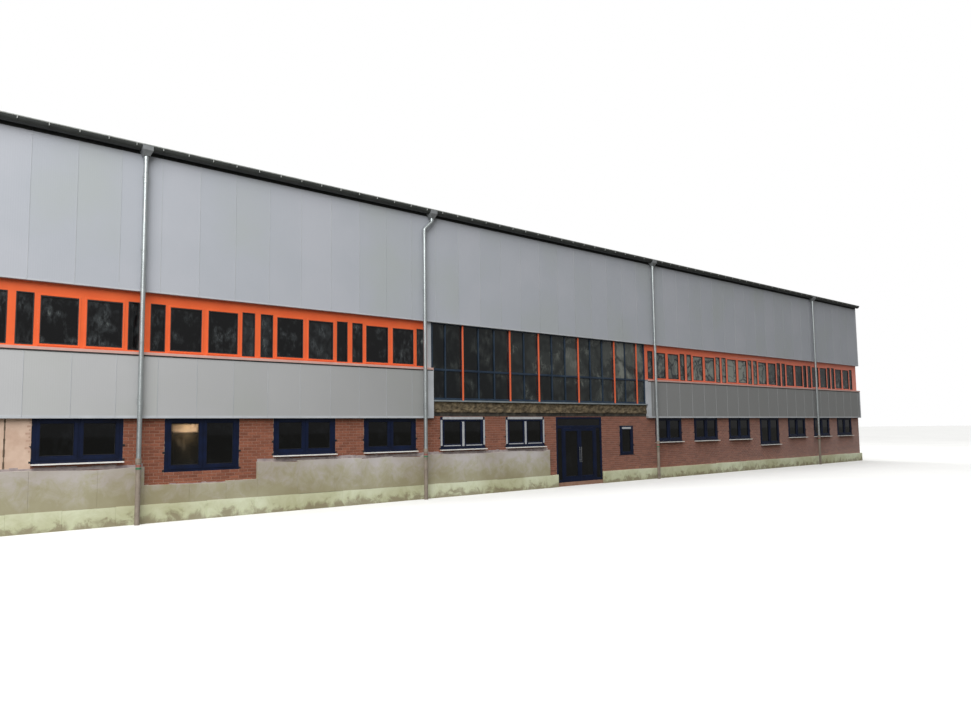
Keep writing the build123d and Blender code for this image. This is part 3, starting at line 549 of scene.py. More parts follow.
# %% [markdown]
# ## Where the ground-floor openings are
#
# Bricks, beads and sealant all need the list of openings, so it comes first. Each window is its
# middle along the wall, width, sill and head. The units repeat every 1.5 m on all four sides.

# %% Openings of the ground floor
WINDOW_WIDTH, WINDOW_SILL, TALL_SILL = 1.0, 0.79, 0.625
WINDOW_HEAD = extent("ground_window_frames")[1][2]
SLIM_SHIFT, SLIM_WIDTH, SLIM_SILL, SLIM_HEAD = -0.02, 0.46, 0.525, 1.16
SILL_BOARD = 0.015
TALL, ENTRANCE, SLIM = (4, 14), 9, 10  # units of the front, from the left
ENTRANCE_X0, ENTRANCE_X1 = (corner[0] for corner in extent("entrance_frame"))


def unit_centres(count):
    return [(i + 0.5 - count / 2) * UNIT for i in range(count)]


LONG_UNITS, GABLE_UNITS = unit_centres(18), unit_centres(6)
front_windows = {}
for index, x in enumerate(LONG_UNITS):
    if index == SLIM:
        front_windows[index] = (x + SLIM_SHIFT, SLIM_WIDTH, SLIM_SILL, SLIM_HEAD)
    elif index != ENTRANCE:
        front_windows[index] = (x, WINDOW_WIDTH, TALL_SILL if index in TALL else WINDOW_SILL, WINDOW_HEAD)
WINDOWS = {"front": list(front_windows.values())}
for side, units in (("rear", LONG_UNITS), ("left", GABLE_UNITS), ("right", GABLE_UNITS)):
    WINDOWS[side] = [(x, WINDOW_WIDTH, WINDOW_SILL, WINDOW_HEAD) for x in units]
print("windows:", {side: len(row) for side, row in WINDOWS.items()})

# %% [markdown]
# ## Facing bricks
#
# The ground floor is faced in brick in running bond: 71 mm bricks in courses of 83 mm, stepped by
# half a brick in each course. A texture would show no edges in raking light, so each brick is a
# real block that stands 6 mm out of the mortar. Its back is left off, because nobody sees it. No
# bricks are laid behind the foam boards at the foot of the wall, nor on the rendered pier.

# %% Sizes of the bricks, and what covers them
SLAB_BOTTOM, SLAB_TOP = (corner[2] for corner in extent("upper_floor_slab"))
COURSES, FIRST_COURSE = 34, 5
COURSE = SLAB_BOTTOM / COURSES
BRICK_PITCH, JOINT, PROUD = model(250), model(12), model(6)
SINK, BRICK_EASE, SHORTEST_CUT = 0.001, 0.0015, 0.012
CLADDING_FOOT, CENTRE_BRICKS = 1.34, 2.95  # above that height, bricks show only in the centre
PIER_X0, PIER_X1 = -9.25, -8.752
# Runs of grey boards: start, end, top, hidden bricks' top, and the adhesive's foot and top
BOARD_RUNS = [(-13.75, -7.5, 0.72, 0.66, 0.70, 0.758), (-7.5, -6.0, 0.485, 0.44, 0.44, 0.487),
              (-6.0, -0.15, 0.72, 0.66, 0.70, 0.765)]
laying = random.Random(4)
print("a course is", round(COURSE * 1000, 1), "mm of the model")

# %% Laying the bricks
def free_runs(start, end, gaps):
    """What is left between two ends once the gaps are taken out."""
    runs = []
    for low, high in sorted(gaps):
        if low > start:
            runs.append((start, low))
        start = max(start, high)
    return runs + ([(start, end)] if end > start else [])


def gaps_at(side, z):
    """Openings and covered stretches of a wall at one height."""
    gaps = [(x - w / 2, x + w / 2) for x, w, sill, head in WINDOWS[side]
            if sill - (SILL_BOARD if w == WINDOW_WIDTH else 0) < z < head]
    if side == "front":
        gaps += [(run[0], run[1]) for run in BOARD_RUNS if z < run[3]]
        gaps.append((PIER_X0, PIER_X1))
        if z < WINDOW_HEAD:
            gaps.append((ENTRANCE_X0, ENTRANCE_X1))
    return gaps


def brick(x0, x1, z0, z1):
    small = box((x0, z0, -SINK), (x1, z1, PROUD))
    bmesh.ops.delete(small, geom=[min(small.faces, key=lambda f: f.calc_center_median().z)],
                     context="FACES_ONLY")
    front_edges = [e for e in small.edges if all(v.co.z > 0 for v in e.verts)]
    bmesh.ops.bevel(small, geom=front_edges, offset=BRICK_EASE, segments=1, affect="EDGES", profile=0.5,
                    material=-1)
    return small


def lay_course(facing, side, course, reach):
    z0 = course * COURSE
    offset = BRICK_PITCH / 2 * (course % 2)
    for low, high in free_runs(-reach, reach, gaps_at(side, z0 + COURSE / 2)):
        x = math.floor((low - offset) / BRICK_PITCH) * BRICK_PITCH + offset
        while x < high:
            x0, x1 = max(x + JOINT / 2, low), min(x + BRICK_PITCH - JOINT / 2, high)
            if x1 - x0 > SHORTEST_CUT:
                join(facing, brick(x0, x1, z0 + JOINT / 2, z0 + COURSE - JOINT / 2), SIDES[side],
                     tone=laying.random())
            x += BRICK_PITCH


for side in SIDES:
    facing = bmesh.new()
    for course in range(FIRST_COURSE, COURSES):
        if course * COURSE <= CLADDING_FOOT:
            lay_course(facing, side, course, REACH[side] + PROUD)
        elif side == "front":
            lay_course(facing, side, course, CENTRE_BRICKS)
    finish_piece(facing, "brick_facing_" + side, brick_face)

# %% [markdown]
# ## Wall panels
#
# In the frame each band of cladding is one slab. The real wall is a row of panels, and their joints
# are what gives the long wall its scale. Each panel is a box, and the folded lip of each joint is a
# low ridge that catches the light as a fine pale line; towards the right the lips are also painted
# paler, a painted highlight. On the gables the panels run up past the roof line, and two cuts along
# the slopes trim them.

# %% Sizes of the panels
CLAD_X, CLAD_Y = extent("lower_cladding_rear")[1][:2]
CLADDING = CLAD_Y - HALF_DEPTH
CENTRE_EDGE = extent("curtain_wall_frame")[1][0]
PANEL_WIDTH, NARROWEST_PANEL, PANEL_JOINT, FIRST_JOINT = model(1000), 0.07, 0.001, 0.13
PANELS_EACH_WAY = 28
RIDGE_WIDTH, RIDGE_HEIGHT, EASE = 0.005, 0.004, 0.001
LIP_HIGHLIGHT_START, LIP_HIGHLIGHT_LENGTH = -4, 9  # the lips are painted paler to the right, a painted highlight
LOWER_BAND = [corner[2] for corner in extent("lower_cladding_front")]
EAVES = extent("roof_front")[0][2]
UPPER_BAND = [extent("upper_cladding_front")[0][2], EAVES]
GABLE_BAND = [UPPER_BAND[0], 5.4]  # past the ridge, to be cut
ROOF_PITCH = math.radians(5)
toning = random.Random(11)
print("cladding", round(CLADDING, 4), "thick, bands", LOWER_BAND, UPPER_BAND)

# %% Wall panels
def panel_edges(start, end):
    """Ends and joints of a row of panels; a strip too narrow for a panel joins its neighbour."""
    joints = [FIRST_JOINT + i * PANEL_WIDTH for i in range(-PANELS_EACH_WAY, PANELS_EACH_WAY)]
    return [start] + [x for x in joints if start + NARROWEST_PANEL < x < end - NARROWEST_PANEL] + [end]


def lay_panels(target, lips, side, start, end, band):
    edges = panel_edges(start, end)
    for x0, x1 in zip(edges, edges[1:]):
        lay(target, (x0 + PANEL_JOINT / 2, x1 - PANEL_JOINT / 2), band, (0, CLADDING), side=side,
            tone=toning.random())
    # The lips' tone rises to the right: a painted highlight
    for x in edges[1:-1]:
        lay(lips, (x - RIDGE_WIDTH / 2, x + RIDGE_WIDTH / 2), (band[0] + EASE, band[1] - EASE),
            (CLADDING - EASE, CLADDING + RIDGE_HEIGHT), EASE, side,
            tone=min(max((x - LIP_HIGHLIGHT_START) / LIP_HIGHLIGHT_LENGTH, 0), 1))


lips = bmesh.new()
for side in ("front", "rear"):
    lower, upper = bmesh.new(), bmesh.new()
    for start, end in ([(-CLAD_X, -CENTRE_EDGE), (CENTRE_EDGE, CLAD_X)] if side == "front"
                       else [(-CLAD_X, CLAD_X)]):
        lay_panels(lower, lips, side, start, end, LOWER_BAND)
    lay_panels(upper, lips, side, -CLAD_X, CLAD_X, UPPER_BAND)
    finish_piece(lower, "lower_panels_" + side, lower_panel_finish, ["lower_cladding_" + side])
    finish_piece(upper, "upper_panels_" + side, panel_finish, ["upper_cladding_" + side])

# %% Panels of the gables, and the lips of all joints
lower, upper = bmesh.new(), bmesh.new()
for side in ("left", "right"):
    lay_panels(lower, lips, side, -HALF_DEPTH, HALF_DEPTH, LOWER_BAND)
    lay_panels(upper, lips, side, -HALF_DEPTH, HALF_DEPTH, GABLE_BAND)
for row in (upper, lips):
    for slope in (-1, 1):
        bmesh.ops.bisect_plane(row, geom=row.verts[:] + row.edges[:] + row.faces[:],
                               plane_co=(0, slope * CLAD_Y, EAVES),
                               plane_no=(0, slope * math.tan(ROOF_PITCH), 1), clear_outer=True)
    bmesh.ops.holes_fill(row, edges=[e for e in row.edges if e.is_boundary], sides=0)
finish_piece(lower, "lower_panels_gables", lower_panel_finish, ["lower_cladding_gables"])
finish_piece(upper, "upper_panels_gables", panel_finish, ["upper_cladding_gables"])
finish_piece(lips, "panel_joint_lips", lip_finish)

# %% [markdown]
# Under the lip of the sill, a thin black strip on top of the lower panels is painted shadow: it stands for
# the shadow that the lip casts, the dark line there.

# %% Painted shadow under the ribbon sill
SHADOW_STRIP_HEIGHT = (2.110, 2.1255)
SHADOW_STRIP_OUT = (CLADDING - EASE, CLADDING + 0.007)
TRIM = 0.012  # the width of the end trims beside the glazed centre
painted_shadow_strip = bmesh.new()
for side, reach in REACH.items():
    runs = [(-reach, reach)]
    if side == "front":
        runs = [(-reach, -CENTRE_EDGE - TRIM), (CENTRE_EDGE + TRIM, reach)]
    for run in runs:
        lay(painted_shadow_strip, run, SHADOW_STRIP_HEIGHT, SHADOW_STRIP_OUT, EASE, side)
finish_piece(painted_shadow_strip, "painted_shadow_under_ribbon_sill", black_rubber)

# %% [markdown]
# ## Panes, gaskets and sashes of the ribbon windows
#
# Each unit of the ribbon has narrow, wide, wide and narrow panes. The wide ones open, so they have
# a sash that stands a little proud. A black gasket lines each pane and laps over the frame, which
# makes the panes look larger than their openings. Gaskets and sashes are rings of four members,
# made once for each size and stamped along the walls.

# %% Rings, and stamping them
def ring(width, height, member, depth, bevel):
    """A frame of four members, lying flat with its back at zero."""
    small = bmesh.new()
    bmesh.ops.create_grid(small, x_segments=1, y_segments=1, size=0.5)
    bmesh.ops.scale(small, vec=(width, height, 1), verts=small.verts)
    middle = small.faces[:]
    bmesh.ops.inset_region(small, faces=middle, use_boundary=True, thickness=member, use_even_offset=True)
    bmesh.ops.delete(small, geom=middle, context="FACES")
    raised = bmesh.ops.extrude_face_region(small, geom=small.faces[:], use_keep_orig=True)
    bmesh.ops.translate(small, vec=(0, 0, depth),
                        verts=[v for v in raised["geom"] if isinstance(v, bmesh.types.BMVert)])
    bmesh.ops.recalc_face_normals(small, faces=small.faces)
    bmesh.ops.bevel(small, geom=small.edges[:], offset=bevel, segments=1, affect="EDGES", profile=0.5,
                    material=-1)
    return small


def stamp(target, mesh, place):
    """Adds a copy of a template to a larger bmesh."""
    copy = mesh.copy()
    copy.transform(place)
    target.from_mesh(copy)
    bpy.data.meshes.remove(copy)


def at(x, y, z):
    return Matrix.Translation((x, y, z))


WIDE, NARROW = (0.392, 2.21, 2.771), (0.165, 2.19, 2.797)  # width, sill, head
shapes = {}
for pane in (WIDE, NARROW):
    width, height = pane[0], pane[2] - pane[1]
    shapes[pane] = (template(ring(width + 0.022, height + 0.012, 0.013, 0.0155, 0.0008)),
                    template(ring(width + 0.064, height + 0.060, 0.022, 0.006, 0.002)))
print("gaskets and sashes for panes", WIDE[0], "and", NARROW[0], "wide")

# %% [markdown]
# The panes are made anew, so that each can carry its own tone, a painted reflection: those of the
# right wing are painted with more of the sky, the most about a third of the way along it, and the
# last ones less again.

# %% Ribbon windows
RIBBON_PANES = [(-0.6145, NARROW), (-0.251, WIDE), (0.251, WIDE), (0.6145, NARROW)]
RIBBON_RUNS = {"front": LONG_UNITS[:7] + LONG_UNITS[11:], "rear": LONG_UNITS, "left": GABLE_UNITS,
               "right": GABLE_UNITS}
PANE_OUT, GASKET_BACK = (-0.026, -0.014), -0.0138
SKY_START, SKY_PEAK, SKY_SPREAD, SKY_END = 3, 6.6, 2.4, 9
shading = random.Random(5)


def ribbon_tone(side, centre, x):
    tone = shading.random() ** 3 * 0.25
    if side == "front" and SKY_START < centre < SKY_END:
        tone = 0.5 + 0.6 * max(1 - abs(x - SKY_PEAK) / SKY_SPREAD, 0) + shading.uniform(-0.15, 0.1)
    elif side == "front" and centre > SKY_END:
        tone = shading.uniform(0.0, 0.4)
    return tone


gaskets, sashes, panes = bmesh.new(), bmesh.new(), bmesh.new()
for side, centres in RIBBON_RUNS.items():
    for centre, (offset, pane) in ((c, p) for c in centres for p in RIBBON_PANES):
        x, (width, sill, head), (gasket, sash) = centre + offset, pane, shapes[pane]
        stamp(gaskets, gasket, SIDES[side] @ at(x, (sill + head) / 2, GASKET_BACK))
        if pane is WIDE:
            stamp(sashes, sash, SIDES[side] @ at(x, (sill + head) / 2, 0))
        lay(panes, (x - width / 2, x + width / 2), (sill, head), PANE_OUT, side=side,
            tone=ribbon_tone(side, centre, x))
finish_piece(gaskets, "ribbon_gaskets", black_rubber)
finish_piece(sashes, "ribbon_sashes", orange_powder_coat)
finish_piece(panes, "ribbon_panes", insulating_glass, ["ribbon_glass"])

# %% [markdown]
# The ribbon on the left ends in a post clad like the wall, beside the glazed centre.

# %% Post at the end of the ribbon
post = bmesh.new()
lay(post, (-3.014, -2.937), (2.161, 2.935), (0.0005, 0.012), 0.002)
finish_piece(post, "ribbon_end_post", silver_trim)

# %% [markdown]
# ## The glazed centre
#
# The centre is a curtain wall: slim pressure caps hold the glass, and six orange fins stand out
# between the panes. The caps are bars with eased edges over the frame's mullions, and the fins
# replace the frame's plain ones so that their edges catch the light. The panes are made anew with a
# tone each, a painted reflection: black on the left and painted grey on the right, where they would mirror
# the sky.

# %% Curtain wall caps and fins
CURTAIN_FOOT, FRAME_HEAD = (corner[2] for corner in extent("curtain_wall_frame"))
CURTAIN_HEAD = extent("curtain_wall_fins")[1][2]
TRANSOM, MODULE, RAIL, CAP = 2.14, UNIT / 4, 0.04, 0.025
MULLIONS = {line: (line - 8) * MODULE for line in range(1, 16)}
FIN_LINES = (2, 5, 7, 10, 13, 15)
FIN_HALF, FIN_OUT, CAP_HALF, CAP_OUT = 0.012, 0.026, 0.010, 0.009
CROSS_GAP, CROSS_OUT = 0.0205, 0.008

caps, fins = bmesh.new(), bmesh.new()
for line, x in MULLIONS.items():
    if line in FIN_LINES:
        lay(fins, (x - FIN_HALF, x + FIN_HALF), (CURTAIN_FOOT, CURTAIN_HEAD), (0, FIN_OUT), 0.003)
    else:
        lay(caps, (x - CAP_HALF, x + CAP_HALF), (CURTAIN_FOOT, CURTAIN_HEAD), (0, CAP_OUT), 0.002)
for heights in ((CURTAIN_FOOT, CURTAIN_FOOT + 0.03), (TRANSOM - 0.015, TRANSOM + 0.015)):
    edges = [-CENTRE_EDGE] + [MULLIONS[line] for line in FIN_LINES] + [CENTRE_EDGE]
    for x0, x1 in zip(edges, edges[1:]):
        lay(caps, (x0 + CROSS_GAP, x1 - CROSS_GAP), heights, (0, CROSS_OUT), 0.002)
print("laid", len(FIN_LINES), "fins and", len(MULLIONS) - len(FIN_LINES), "caps")

# %% Curtain wall panes
TONE_LEVEL, TONE_RISE, DARKEST, PALEST = 0.46, 0.20, 0.06, 0.7  # painted reflection: level in the middle, rise per metre
LOWER_ROW = 0.6  # the lower row's painted reflection is darker
columns = [-CENTRE_EDGE + RAIL / 2] + list(MULLIONS.values()) + [CENTRE_EDGE - RAIL / 2]
panes = bmesh.new()
for start, end in zip(columns, columns[1:]):
    x0 = start + (RAIL if start == columns[0] else CAP) / 2
    x1 = end - (RAIL if end == columns[-1] else CAP) / 2
    for z0, z1 in ((CURTAIN_FOOT + RAIL, TRANSOM - RAIL / 2), (TRANSOM + RAIL / 2, FRAME_HEAD - RAIL)):
        tone = min(max(TONE_LEVEL + x0 * TONE_RISE, DARKEST), PALEST) * shading.uniform(0.5, 1.2)
        lay(panes, (x0, x1), (z0, z1), PANE_OUT, tone=tone * (1.0 if z0 > TRANSOM else LOWER_ROW))
finish_piece(panes, "curtain_wall_panes", teal_glass, ["curtain_wall_glass"])
finish_piece(caps, "curtain_wall_caps", slate_powder_coat)
finish_piece(fins, "curtain_wall_fins_eased", orange_powder_coat, ["curtain_wall_fins"])

# %% [markdown]
# ## Raw edge of the upper floor
#
# Under the glazed centre no cladding hides the edge of the concrete floor. It was broken back to
# take the new front, so it is rough. A fine grid pushed in and out by noise gives that skin, and
# its rim is drawn back to the wall so that no gap shows.

# %% Raw slab edge
CRUST, SHALLOWEST, DEEPEST = 0.024, 0.003, 0.05
LUMPS_ALONG, LUMPS_UP, SHAKE = 9, 14, 0.004  # lumps per metre, and how far the grid is shaken
crust = bmesh.new()
bmesh.ops.create_grid(crust, x_segments=294, y_segments=9, size=0.5,
                      matrix=at(0, (SLAB_BOTTOM + SLAB_TOP) / 2, CRUST)
                      @ Matrix.Diagonal((2 * (CENTRE_EDGE - 0.006), SLAB_TOP - SLAB_BOTTOM, 1, 1)))
rim = [e for e in crust.edges if e.is_boundary]
for vert in crust.verts:
    spot = Vector((vert.co.x * LUMPS_ALONG, vert.co.y * LUMPS_UP, 0))
    if not vert.is_boundary:
        vert.co.y += SHAKE * noise.noise(spot * 3)
    vert.co.z += CRUST * noise.fractal(spot, 0.9, 2.0, 4)
    vert.co.z = min(max(vert.co.z, SHALLOWEST), DEEPEST)
skirt = bmesh.ops.extrude_edge_only(crust, edges=rim)
for vert in (v for v in skirt["geom"] if isinstance(v, bmesh.types.BMVert)):
    vert.co.z = 0
bmesh.ops.recalc_face_normals(crust, faces=crust.faces)
crust.transform(SIDES["front"])
finish_piece(crust, "raw_slab_edge", raw_concrete)

# %% [markdown]
# A black membrane seals the wall below the broken edge, down to the heads of the windows; its black is
# also painted shade, for the shadow under that edge. It comes in four lengths that lap.

# %% Membrane below the slab edge
MEMBRANE_ENDS = [-2.93, -1.4, 0.2, 1.6, 2.93]
MEMBRANE_LAP = 0.02
membrane = bmesh.new()
for x0, x1 in zip(MEMBRANE_ENDS, MEMBRANE_ENDS[1:]):
    lay(membrane, (x0, x1 + MEMBRANE_LAP), (1.352, 1.419), (0.001, 0.0055), EASE)
finish_piece(membrane, "black_membrane_and_painted_shade", dusty_membrane_and_painted_shade)

# %% [markdown]
# ## Ground-floor windows
#
# The navy windows have two sashes each, with beads and gaskets as above. The slim window has one.

# %% Sashes, beads and gaskets of the ground floor
BORDER, MULLION = 0.085, 0.1


def panes_of(x, width, sill, head):
    """Left, right, foot and top of each pane of a window."""
    left, right_end, foot, top = x - width / 2 + BORDER, x + width / 2 - BORDER, sill + BORDER, head - BORDER
    if width < WINDOW_WIDTH:
        return [(left, right_end, foot, top)]
    return [(left, x - MULLION / 2, foot, top), (x + MULLION / 2, right_end, foot, top)]


sashes, beads, gaskets = bmesh.new(), bmesh.new(), bmesh.new()
for side, windows in WINDOWS.items():
    for x0, x1, z0, z1 in (pane for window in windows for pane in panes_of(*window)):
        width, height, middle = x1 - x0, z1 - z0, ((x0 + x1) / 2, (z0 + z1) / 2)
        join(sashes, ring(width + 0.076, height + 0.1, 0.038, 0.008, 0.002), SIDES[side] @ at(*middle, 0))
        join(beads, ring(width, height, 0.004, 0.010, 0.001), SIDES[side] @ at(*middle, GASKET_BACK))
        join(gaskets, ring(width - 0.008, height - 0.008, 0.005, 0.002, 0.0005),
             SIDES[side] @ at(*middle, GASKET_BACK))
finish_piece(sashes, "ground_window_sashes", navy_window_foil)
finish_piece(beads, "ground_window_beads", navy_window_foil)
finish_piece(gaskets, "ground_window_gaskets", black_rubber)

# %% [markdown]
# The windows are newly fitted: foam squeezes out at the jambs in lumps, black lugs hold the frames,
# and pale tape still covers most of two frames and the head of the slim window.

# %% Foam and lugs at the jambs
LUG_HALF, LUG_HEIGHT, UPPER_LUG, LUG_OUT = 0.013, 0.026, 0.33, (0.001, 0.007)
LUMP, SPREAD, FOAM_SHARE = (0.02, 0.07), (0.002, 0.006), 0.25
squeezing = random.Random(3)
foam, lugs = bmesh.new(), bmesh.new()
for x, width, sill, head in front_windows.values():
    for jamb, out in ((x - width / 2, -1), (x + width / 2, 1)):
        z = sill
        while z < head - 0.03:
            length = squeezing.uniform(*LUMP)
            spread = squeezing.uniform(*SPREAD)
            if squeezing.random() < FOAM_SHARE:
                lay(foam, sorted((jamb + out * spread, jamb - out * 0.003)), (z, min(z + length, head)),
                    (0.001, 0.004), EASE)
            z += length
        lug_x = jamb + out * 0.010
        for lug_z in (sill + 0.008, sill + UPPER_LUG * (head - sill)):
            lay(lugs, (lug_x - LUG_HALF, lug_x + LUG_HALF), (lug_z, lug_z + LUG_HEIGHT), LUG_OUT, 0.002)
finish_piece(foam, "sealing_foam_at_jambs", sealing_foam)
finish_piece(lugs, "window_fixing_lugs", black_rubber)

# %% Protective tape
TAPED = (7, 8)
TAPE_OUT, TAPE_EASE = (0.0082, 0.0095), 0.0005  # just in front of the sashes
tape = bmesh.new()
for x, width, sill, head in (front_windows[index] for index in TAPED):
    left, right_end = x - width / 2, x + width / 2
    jamb_height = (sill + 0.065, head - 0.06)
    lay(tape, (left + 0.05, right_end - 0.05), (head - 0.050, head - 0.006), TAPE_OUT, TAPE_EASE)
    lay(tape, (left + 0.004, left + 0.042), jamb_height, TAPE_OUT, TAPE_EASE)
    lay(tape, (right_end - 0.042, right_end - 0.004), jamb_height, TAPE_OUT, TAPE_EASE)
    lay(tape, (x - 0.024, x + 0.024), (sill + 0.05, head - 0.09), TAPE_OUT, TAPE_EASE)
    for ends in ((left + 0.07, x - 0.06), (x + 0.06, right_end - 0.07)):
        lay(tape, ends, (sill + 0.056, sill + 0.070), TAPE_OUT, TAPE_EASE)
x, width, sill, head = front_windows[SLIM]
lay(tape, (x - 0.15, x + 0.15), (head - 0.070, head - 0.03), TAPE_OUT, TAPE_EASE)
finish_piece(tape, "protective_tape", white_tape)

# %% [markdown]
# ## Rendered pier
#
# One pier was rendered where an old opening was filled. An upright joint with ragged brown sealant
# divides it. Near the window the coat is thin, and the toothed ends of the bricks below show through
# as short, flat bars, longer in every other course.

# %% Rendered pier
PIER_JOINT_X, PIER_JOINT_HALF = -9.018, 0.005
PIER_FIRST, PIER_LAST, FIRST_TOOTH = 15, 33, 22  # courses
PIER_FOOT, PIER_HEAD = PIER_FIRST * COURSE, PIER_LAST * COURSE
render, teeth, sealant = bmesh.new(), bmesh.new(), bmesh.new()
for ends in ((PIER_X0, PIER_JOINT_X - PIER_JOINT_HALF), (PIER_JOINT_X + PIER_JOINT_HALF, PIER_X1)):
    lay(render, ends, (PIER_FOOT, PIER_HEAD), (-SINK, 0.006), EASE)
z = PIER_FOOT
while z < PIER_HEAD - 0.001:
    z1 = min(z + laying.uniform(0.02, 0.06), PIER_HEAD)
    half = laying.uniform(0.006, 0.012)
    lay(sealant, (PIER_JOINT_X - half, PIER_JOINT_X + half), (z, z1), (-SINK, 0.0068), 0.0005)
    z = z1
for course in range(FIRST_TOOTH, PIER_LAST):
    reach = laying.uniform(0.035, 0.075) if course % 2 else laying.uniform(0.02, 0.035)
    lay(teeth, (PIER_X1 - reach, PIER_X1 - 0.008), (course * COURSE + 0.008, (course + 1) * COURSE - 0.012),
        (0.005, 0.0072), 0.0005)
finish_piece(render, "rendered_pier", peach_render)
finish_piece(teeth, "pier_brick_ends", thin_render)
finish_piece(sealant, "pier_joint_sealant", old_sealant)

# %% [markdown]
# ## Foam boards
#
# The boards at the foot of the wall were cut by hand, so no two have quite the same height and
# their tops slope. Each is a box whose top corners drop by a chance amount before it is joined.
# Above them the wall still wears a ragged strip of the adhesive.

# %% Foam boards
BOARD, BOARD_WIDTH, NARROWEST_BOARD = 0.05, 0.62, 0.15
GREEN_END = extent("green_plinth_boards")[1][0]
cutting = random.Random(8)


def lay_boards(target, side, start, end, foot, top, drop):
    x = start
    while x < end - 0.01:
        x1 = min(x + BOARD_WIDTH * cutting.uniform(0.75, 1.2), end)
        if end - x1 < NARROWEST_BOARD:
            x1 = end
        board = box((x + 0.0005, foot, 0.003), (x1 - 0.0005, top, BOARD - cutting.uniform(0, 0.003)),
                    0.0015)
        left_drop, right_drop = cutting.uniform(0, drop), cutting.uniform(0, drop)
        for vert in board.verts:
            if vert.co.y > (foot + top) / 2:
                share = (vert.co.x - x) / (x1 - x)
                vert.co.y -= left_drop + (right_drop - left_drop) * share
        join(target, board, SIDES[side])
        x = x1


grey, green = bmesh.new(), bmesh.new()
for start, end, top in (run[:3] for run in BOARD_RUNS):
    lay_boards(grey, "front", start, end, BOARD_SPLIT - 0.008, top, 0.03)
for side, start, end in (("front", -GREEN_END, ENTRANCE_X0), ("front", ENTRANCE_X1, GREEN_END),
                         ("rear", -GREEN_END, GREEN_END), ("left", -HALF_DEPTH, HALF_DEPTH),
                         ("right", -HALF_DEPTH, HALF_DEPTH)):
    lay_boards(green, side, start, end, 0, BOARD_SPLIT, 0.012)
print("foam boards:", len(grey.faces) + len(green.faces), "faces")

# %% Adhesive above the boards
adhesive = bmesh.new()
for start, end, *_, low, high in BOARD_RUNS:
    x, last = start + 0.01, end - 0.01
    while x < last - 0.02:
        x1 = min(x + cutting.uniform(0.05, 0.16), last)
        lay(adhesive, (x, x1), (low, high - cutting.uniform(0, 0.02)), (0.001, 0.0075), 0.002)
        x = x1
finish_piece(adhesive, "adhesive_above_boards", board_adhesive)
finish_piece(grey, "grey_foam_boards", grey_foam, ["grey_plinth_boards"])
finish_piece(green, "green_foam_boards", green_foam, ["green_plinth_boards"])

# %% [markdown]
# ## Gutters
#
# A gutter is a half-round channel of folded steel with a bead rolled along its front edge. One
# point spun through half a turn gives the section, which is extruded along the eaves and given its
# thickness. A half disc closes each end.

# %% Gutter channels and beads
GUTTER_Y, GUTTER_R, GUTTER_SHEET = 4.8815, 0.0625, 0.003
GUTTER_END = extent("gutters")[1][0]
EAVES_RIM = extent("gutters")[0][2] + GUTTER_R
BEAD_R, BEAD_RISE, BEAD_INSET = 0.010, 0.007, 0.0015


def bar(start, end, radius, sides=12):
    """A round bar between two points, with closed ends."""
    start, end = Vector(start), Vector(end)
    small = bmesh.new()
    turned = (end - start).to_track_quat("Z", "Y").to_matrix().to_4x4()
    bmesh.ops.create_cone(small, cap_ends=True, segments=sides, radius1=radius, radius2=radius,
                          depth=(end - start).length, matrix=Matrix.Translation((start + end) / 2) @ turned)
    return small


def half_round(axis_y, side):
    """The channel of one gutter, from end to end."""
    shell = bmesh.new()
    start = shell.verts.new((-GUTTER_END, axis_y + side * GUTTER_R, EAVES_RIM))
    bmesh.ops.spin(shell, geom=[start], cent=(-GUTTER_END, axis_y, EAVES_RIM), axis=(-side, 0, 0),
                   angle=math.pi, steps=24)
    drawn = bmesh.ops.extrude_edge_only(shell, edges=shell.edges[:])
    bmesh.ops.translate(shell, vec=(2 * GUTTER_END, 0, 0),
                        verts=[v for v in drawn["geom"] if isinstance(v, bmesh.types.BMVert)])
    bmesh.ops.recalc_face_normals(shell, faces=shell.faces)
    lowest = min(shell.faces, key=lambda f: f.calc_center_median().z)
    if lowest.normal.z > 0:
        bmesh.ops.reverse_faces(shell, faces=shell.faces)
    bmesh.ops.solidify(shell, geom=shell.faces[:], thickness=GUTTER_SHEET)
    return shell


def end_plate(axis_y, end):
    plate = bmesh.new()
    bmesh.ops.create_cone(plate, cap_ends=True, segments=48, radius1=GUTTER_R - 0.001,
                          radius2=GUTTER_R - 0.001, depth=GUTTER_SHEET,
                          matrix=at(end * (GUTTER_END - GUTTER_SHEET / 2), axis_y, EAVES_RIM)
                          @ Matrix.Rotation(math.pi / 2, 4, "Y"))
    bmesh.ops.bisect_plane(plate, geom=plate.verts[:] + plate.edges[:] + plate.faces[:],
                           plane_co=(0, 0, EAVES_RIM - 0.001), plane_no=(0, 0, 1), clear_outer=True)
    bmesh.ops.holes_fill(plate, edges=[e for e in plate.edges if e.is_boundary], sides=0)
    return plate


channels, beads = bmesh.new(), bmesh.new()
for side in (-1, 1):
    axis_y = side * GUTTER_Y
    join(channels, half_round(axis_y, side))
    bead_y, bead_z = axis_y + side * (GUTTER_R - BEAD_INSET), EAVES_RIM + BEAD_RISE
    join(beads, bar((-GUTTER_END, bead_y, bead_z), (GUTTER_END, bead_y, bead_z), BEAD_R))
    for end in (-1, 1):
        join(channels, end_plate(axis_y, end))
finish_piece(channels, "gutter_channels", gutter_steel_painted_light, ["gutters"], smooth=True)
finish_piece(beads, "gutter_beads", painted_highlight_steel, smooth=True)

# %% [markdown]
# Straps hold the gutters every 650 mm or so. Each is a flat section spun under the channel, and its
# nose over the bead is painted pale, a painted highlight, so it shows as a tick on the dark line of the
# eaves.

